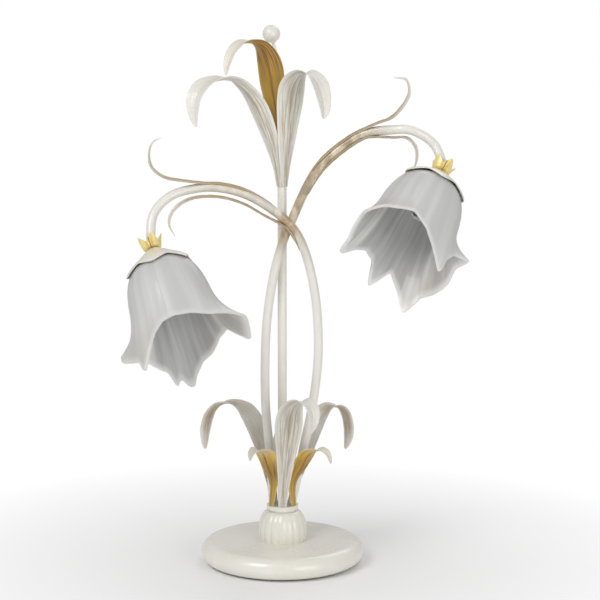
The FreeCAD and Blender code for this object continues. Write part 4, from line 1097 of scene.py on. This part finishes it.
LEFT = Light(
    "left", 10.3, (
        (23.2, 64.6, 1, 0), (34.1, 118, 1, 0), (39.9, 170, 1.2, 0), (38.6, 222, 1.5, 0), (32.2, 264, 1.8, 0),
        (22, 297.8, 2, 0), (8.3, 319.5, 2, 0.2), (-13, 337.4, 2, 2), (-37.9, 352, 2, 6),
        (-64.9, 359.7, 2, 10), (-90.2, 359.9, 2, 11.5), (-119.6, 352.3, 2, 19.7), (-138, 332.8, 2, 31)),
    (-137.6, 297.5, 2, 48), 18.5, 30.7, (
        (5, 100, 52), (25, 102, 52), (49, 106, 53), (70, 105, 58), (95, 107, 71), (115, 124, 73),
        (128, 101, 58), (141, 105, 55), (159, 117, 54), (173, 121, 54), (184, 131, 55), (191, 143, 58),
        (197, 142, 57), (203, 131, 55), (209, 139, 59), (216, 122, 55), (235, 110, 57), (252, 99, 61),
        (268, 101, 69), (281, 114, 68), (297, 124, 62), (307, 129, 58), (313, 144, 60), (329, 121, 55),
        (339, 109, 53), (350, 102, 52)),
    (Sheath("left_arm_upper_leaf", 1, 0.66, 0.80, (
        (-110, 370.6, 38.5, 4.8), (-126.5, 374.4, 42, 5), (-138.7, 384.1, 42.5, 4.8),
        (-141.7, 397.6, 43, 4.2), (-138.3, 408.9, 43.5, 2.8), (-129.6, 414.8, 44, 1))),
     Sheath("left_arm_lower_leaf", -1, 0.55, 0.61, (
         (-19.5, 328.4, 25, 3.6), (-41.2, 341, 28.5, 3.8), (-64.9, 348.6, 33, 3.8), (-88.6, 349.6, 38, 3.8),
         (-105.7, 344.6, 43, 3.8), (-116.9, 334.6, 47, 3.6), (-120.3, 322, 50, 2.8),
         (-114.6, 309.6, 52, 1)))),
    Body.LEFT_SHADE, 0.3)


@dataclass
class Paints:
    """The finished materials, made once each."""

    enamel: bpy.types.Material
    tube: bpy.types.Material
    leaf: bpy.types.Material
    gilding: bpy.types.Material
    crown: bpy.types.Material
    glass: bpy.types.Material

    @classmethod
    def mixed(cls) -> "Paints":
        """Mix every paint."""
        return cls(IvoryEnamel().material(), TubePaint().material(), StreakedPaint("leaf_paint").material(),
                   Gilding("leaf_gilding").material(),
                   Gilding("crown_gilding", (0.92, 0.76, 0.32), (0.62, 0.40, 0.08), lining=0.0).material(),
                   FrostedGlass().material())


@dataclass(frozen=True)
class Neck:
    """The gadrooned neck on the base: eighteen soft lobes, widest low down.

    Attributes:
        foot: the height of its foot.
        height: how tall it is.
        lobes: how many lobes.
        outline: share of the height and radius.
    """

    foot: float = 25.5
    height: float = 33.5
    lobes: int = 18
    outline: tuple = ((0, 26.5), (0.22, 27.7), (0.5, 27), (0.74, 25), (0.94, 21), (1, 18))

    def sheet(self) -> Sheet:
        """Turn the outline: between lobes the radius falls by up to 1.3 mm, less a sine's power of 0.8.

        Returns:
            The neck's surface.
        """
        outline = np.array([(s * self.height, r, 0) for s, r in self.outline], float)
        rows = evenly(curve_through(outline, 8), 40)
        angle = np.linspace(0, 2 * math.pi, 360, endpoint=False)
        share = rows[:, :1] / self.height
        groove = 1.3 * (1 - 0.6 * share) * (1 - np.abs(np.sin(angle * self.lobes / 2)) ** 0.8)[None, :]
        r = rows[:, 1:2] - groove
        z = np.broadcast_to(self.foot + rows[:, :1], r.shape)
        return bare(np.stack([r * np.cos(angle), r * np.sin(angle), z], axis=-1))


@dataclass(frozen=True)
class Finial:
    """The ball on the pistil, turned with a small collar that takes the wire.

    Attributes:
        centre: the ball's middle.
        aim: where the wire comes from.
        radius: the ball's radius.
        collar: distance from the middle and radius of the collar's steps.
    """

    centre: tuple[float, float, float] = (-11.5, 2.0, 591.9)
    aim: tuple[float, float, float] = (-3.4, 3.4, 555.3)
    radius: float = 9.6
    collar: tuple = ((-10.0, 1.9), (-9.9, 2.6), (-9.5, 3.1), (-9.2, 3.2))

    def sheet(self) -> Sheet:
        """Turn the collar, then a circle's height and radius, about the wire.

        Returns:
            The ball's surface.
        """
        axis = unit(np.array(self.centre) - np.array(self.aim))
        side = unit(np.cross(axis, [0.0, 1.0, 0.0]))
        third = np.cross(axis, side)
        swing = np.linspace(math.radians(-68), math.radians(89.5), 60)
        height = np.concatenate([[h for h, _ in self.collar], self.radius * np.sin(swing)])
        reach = np.concatenate([[r for _, r in self.collar], self.radius * np.cos(swing)])
        angle = np.linspace(0, 2 * math.pi, 96, endpoint=False)
        round_it = np.cos(angle)[:, None] * side + np.sin(angle)[:, None] * third
        return bare(np.array(self.centre) + height[:, None, None] * axis + reach[:, None, None] * round_it)


@dataclass(frozen=True)
class Fittings:
    """Every carried-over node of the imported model, dressed by its slot."""

    nodes: dict
    record: dict

    def dress(self, paints: Paints) -> None:
        """Give each node the material of its slot.

        Args:
            paints: the mixed materials.
        """
        made = {plain.name: plain.material() for plain in FITTINGS}
        made["ivory_paint"] = paints.enamel
        made["frosted_glass"] = paints.glass
        slots = {part["node"]: part["material_slot"] for part in self.record["subparts"]}
        for name, node in self.nodes.items():
            for slot in node.material_slots:
                slot.material = made[slots[name]]
            LOG.info("%s is dressed as %s", name, slots[name])


@dataclass(frozen=True)
class Studio:
    """A plain pale floor, soft lamps and the camera.

    Attributes:
        floor: the floor's colour.
        span: half of the floor's side, in metres.
        fade: where the floor starts to turn white, and where it is white.
        lamps: name, place, watts and side of each lamp.
        eye: the camera's place.
        nod: how far the camera looks down, in degrees.
        lens: its focal length, in millimetres.
    """

    floor: Colour = (0.94, 0.94, 0.94)
    span: float = 30.0
    fade: tuple[float, float] = (0.11, 0.5)
    lamps: tuple = (
        ("key_lamp", (-1.6, -1.9, 2.4), 37.0, 1.3), ("fill_lamp", (1.5, -2.3, 0.7), 17.0, 1.4),
        ("rim_lamp", (0.8, 2.0, 2.0), 7.0, 1.2))
    eye: Colour = (0.0198, -2.0, 0.5786)
    nod: float = 7.964
    lens: float = 108.88

    def build(self) -> None:
        """Lay the floor, set the sky, hang the lamps and stand the camera."""
        self.ground()
        self.sky()
        for lamp in self.lamps:
            self.lamp(*lamp)
        self.camera()

    def ground(self) -> None:
        """Lay the floor, which turns white to the camera with distance and keeps the shadow."""
        mesh = bpy.data.meshes.new("floor")
        span = self.span
        around = [(-span, -span, 0), (span, -span, 0), (span, span, 0), (-span, span, 0)]
        mesh.from_pydata(around, [], [(0, 1, 2, 3)])
        floor = bpy.data.objects.new("floor", mesh)
        bpy.context.scene.collection.objects.link(floor)
        tree = Tree(bpy.data.materials.new("pale_floor"))
        place = tree.place()
        tone = tree.blend(tree.noise(place, 3.0), self.floor, (0.92, 0.92, 0.92))
        far = tree.add("ShaderNodeVectorMath", {0: place}, operation="LENGTH").outputs["Value"]
        white = tree.add("ShaderNodeEmission", {"Color": WHITE, "Strength": 1.0})
        mesh.materials.append(tree.finish(Base_Color=tone, Roughness=0.6))
        tree.show(tree.sums("MULTIPLY", tree.seen(), tree.ramp(far, *self.fade)), tree.shader, white)

    def sky(self) -> None:
        """Set the world: white to the camera, a soft grey light to the object."""
        world = bpy.data.worlds.new("studio_world")
        bpy.context.scene.world = world
        tree = Tree(world)
        soft = tree.add("ShaderNodeBackground", {"Color": (0.86, 0.86, 0.86, 1), "Strength": 0.62})
        white = tree.add("ShaderNodeBackground", {"Color": WHITE})
        tree.show(tree.seen(), soft, white)

    def lamp(self, name: str, place: Colour, power: float, size: float) -> None:
        """Hang a square soft lamp that looks at the middle of the object.

        Args:
            name: its name.
            place: where it hangs, in metres.
            power: watts.
            size: the length of its side, in metres.
        """
        data = bpy.data.lights.new(name, "AREA")
        data.energy, data.size = power, size
        lamp = bpy.data.objects.new(name, data)
        bpy.context.scene.collection.objects.link(lamp)
        x, y, z = (a - b for a, b in zip(place, (0, 0, 0.3)))
        lamp.location = place
        lamp.rotation_euler = (math.atan2(math.hypot(x, y), z), 0, math.atan2(y, x) + math.pi / 2)

    def camera(self) -> None:
        """Stand the camera where the photograph was taken from."""
        data = bpy.data.cameras.new("camera")
        data.sensor_width, data.lens, data.clip_end = 36.0, self.lens, 100.0
        camera = bpy.data.objects.new("camera", data)
        bpy.context.scene.collection.objects.link(camera)
        camera.location = self.eye
        camera.rotation_euler = (math.radians(90 - self.nod), 0, 0)
        bpy.context.scene.camera = camera


def corners(box: tuple) -> list[list[float]]:
    """Return a box as plain lists of numbers."""
    return [[float(value) for value in corner] for corner in box]


def main() -> None:
    """Build the lamp's pieces in order, dress the rest and set the studio."""
    logging.basicConfig(level=logging.INFO, format="%(message)s")
    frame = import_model()
    paints = Paints.mixed()
    Fittings(frame["nodes"], frame["record"]).dress(paints)
    stand_in(Body.LAMP, "fluted_neck", "gadrooned_neck", Neck().sheet(), paints.enamel)
    stand_in(Body.LAMP, "ball_finial", "turned_ball", Finial().sheet(), paints.enamel)
    for leaf in LEAVES:
        slot, paint = ("gilt", paints.gilding) if leaf.gilt else ("streaked_paint", paints.leaf)
        stand_in(Body.LAMP, leaf.name, f"{leaf.name}_sheet", leaf.sheet(), paint)
    for light in (LEFT, RIGHT):
        light.make(paints)
    Studio().build()
    bpy.context.scene.view_settings.view_transform = "Standard"


if __name__ == "__main__":
    main()
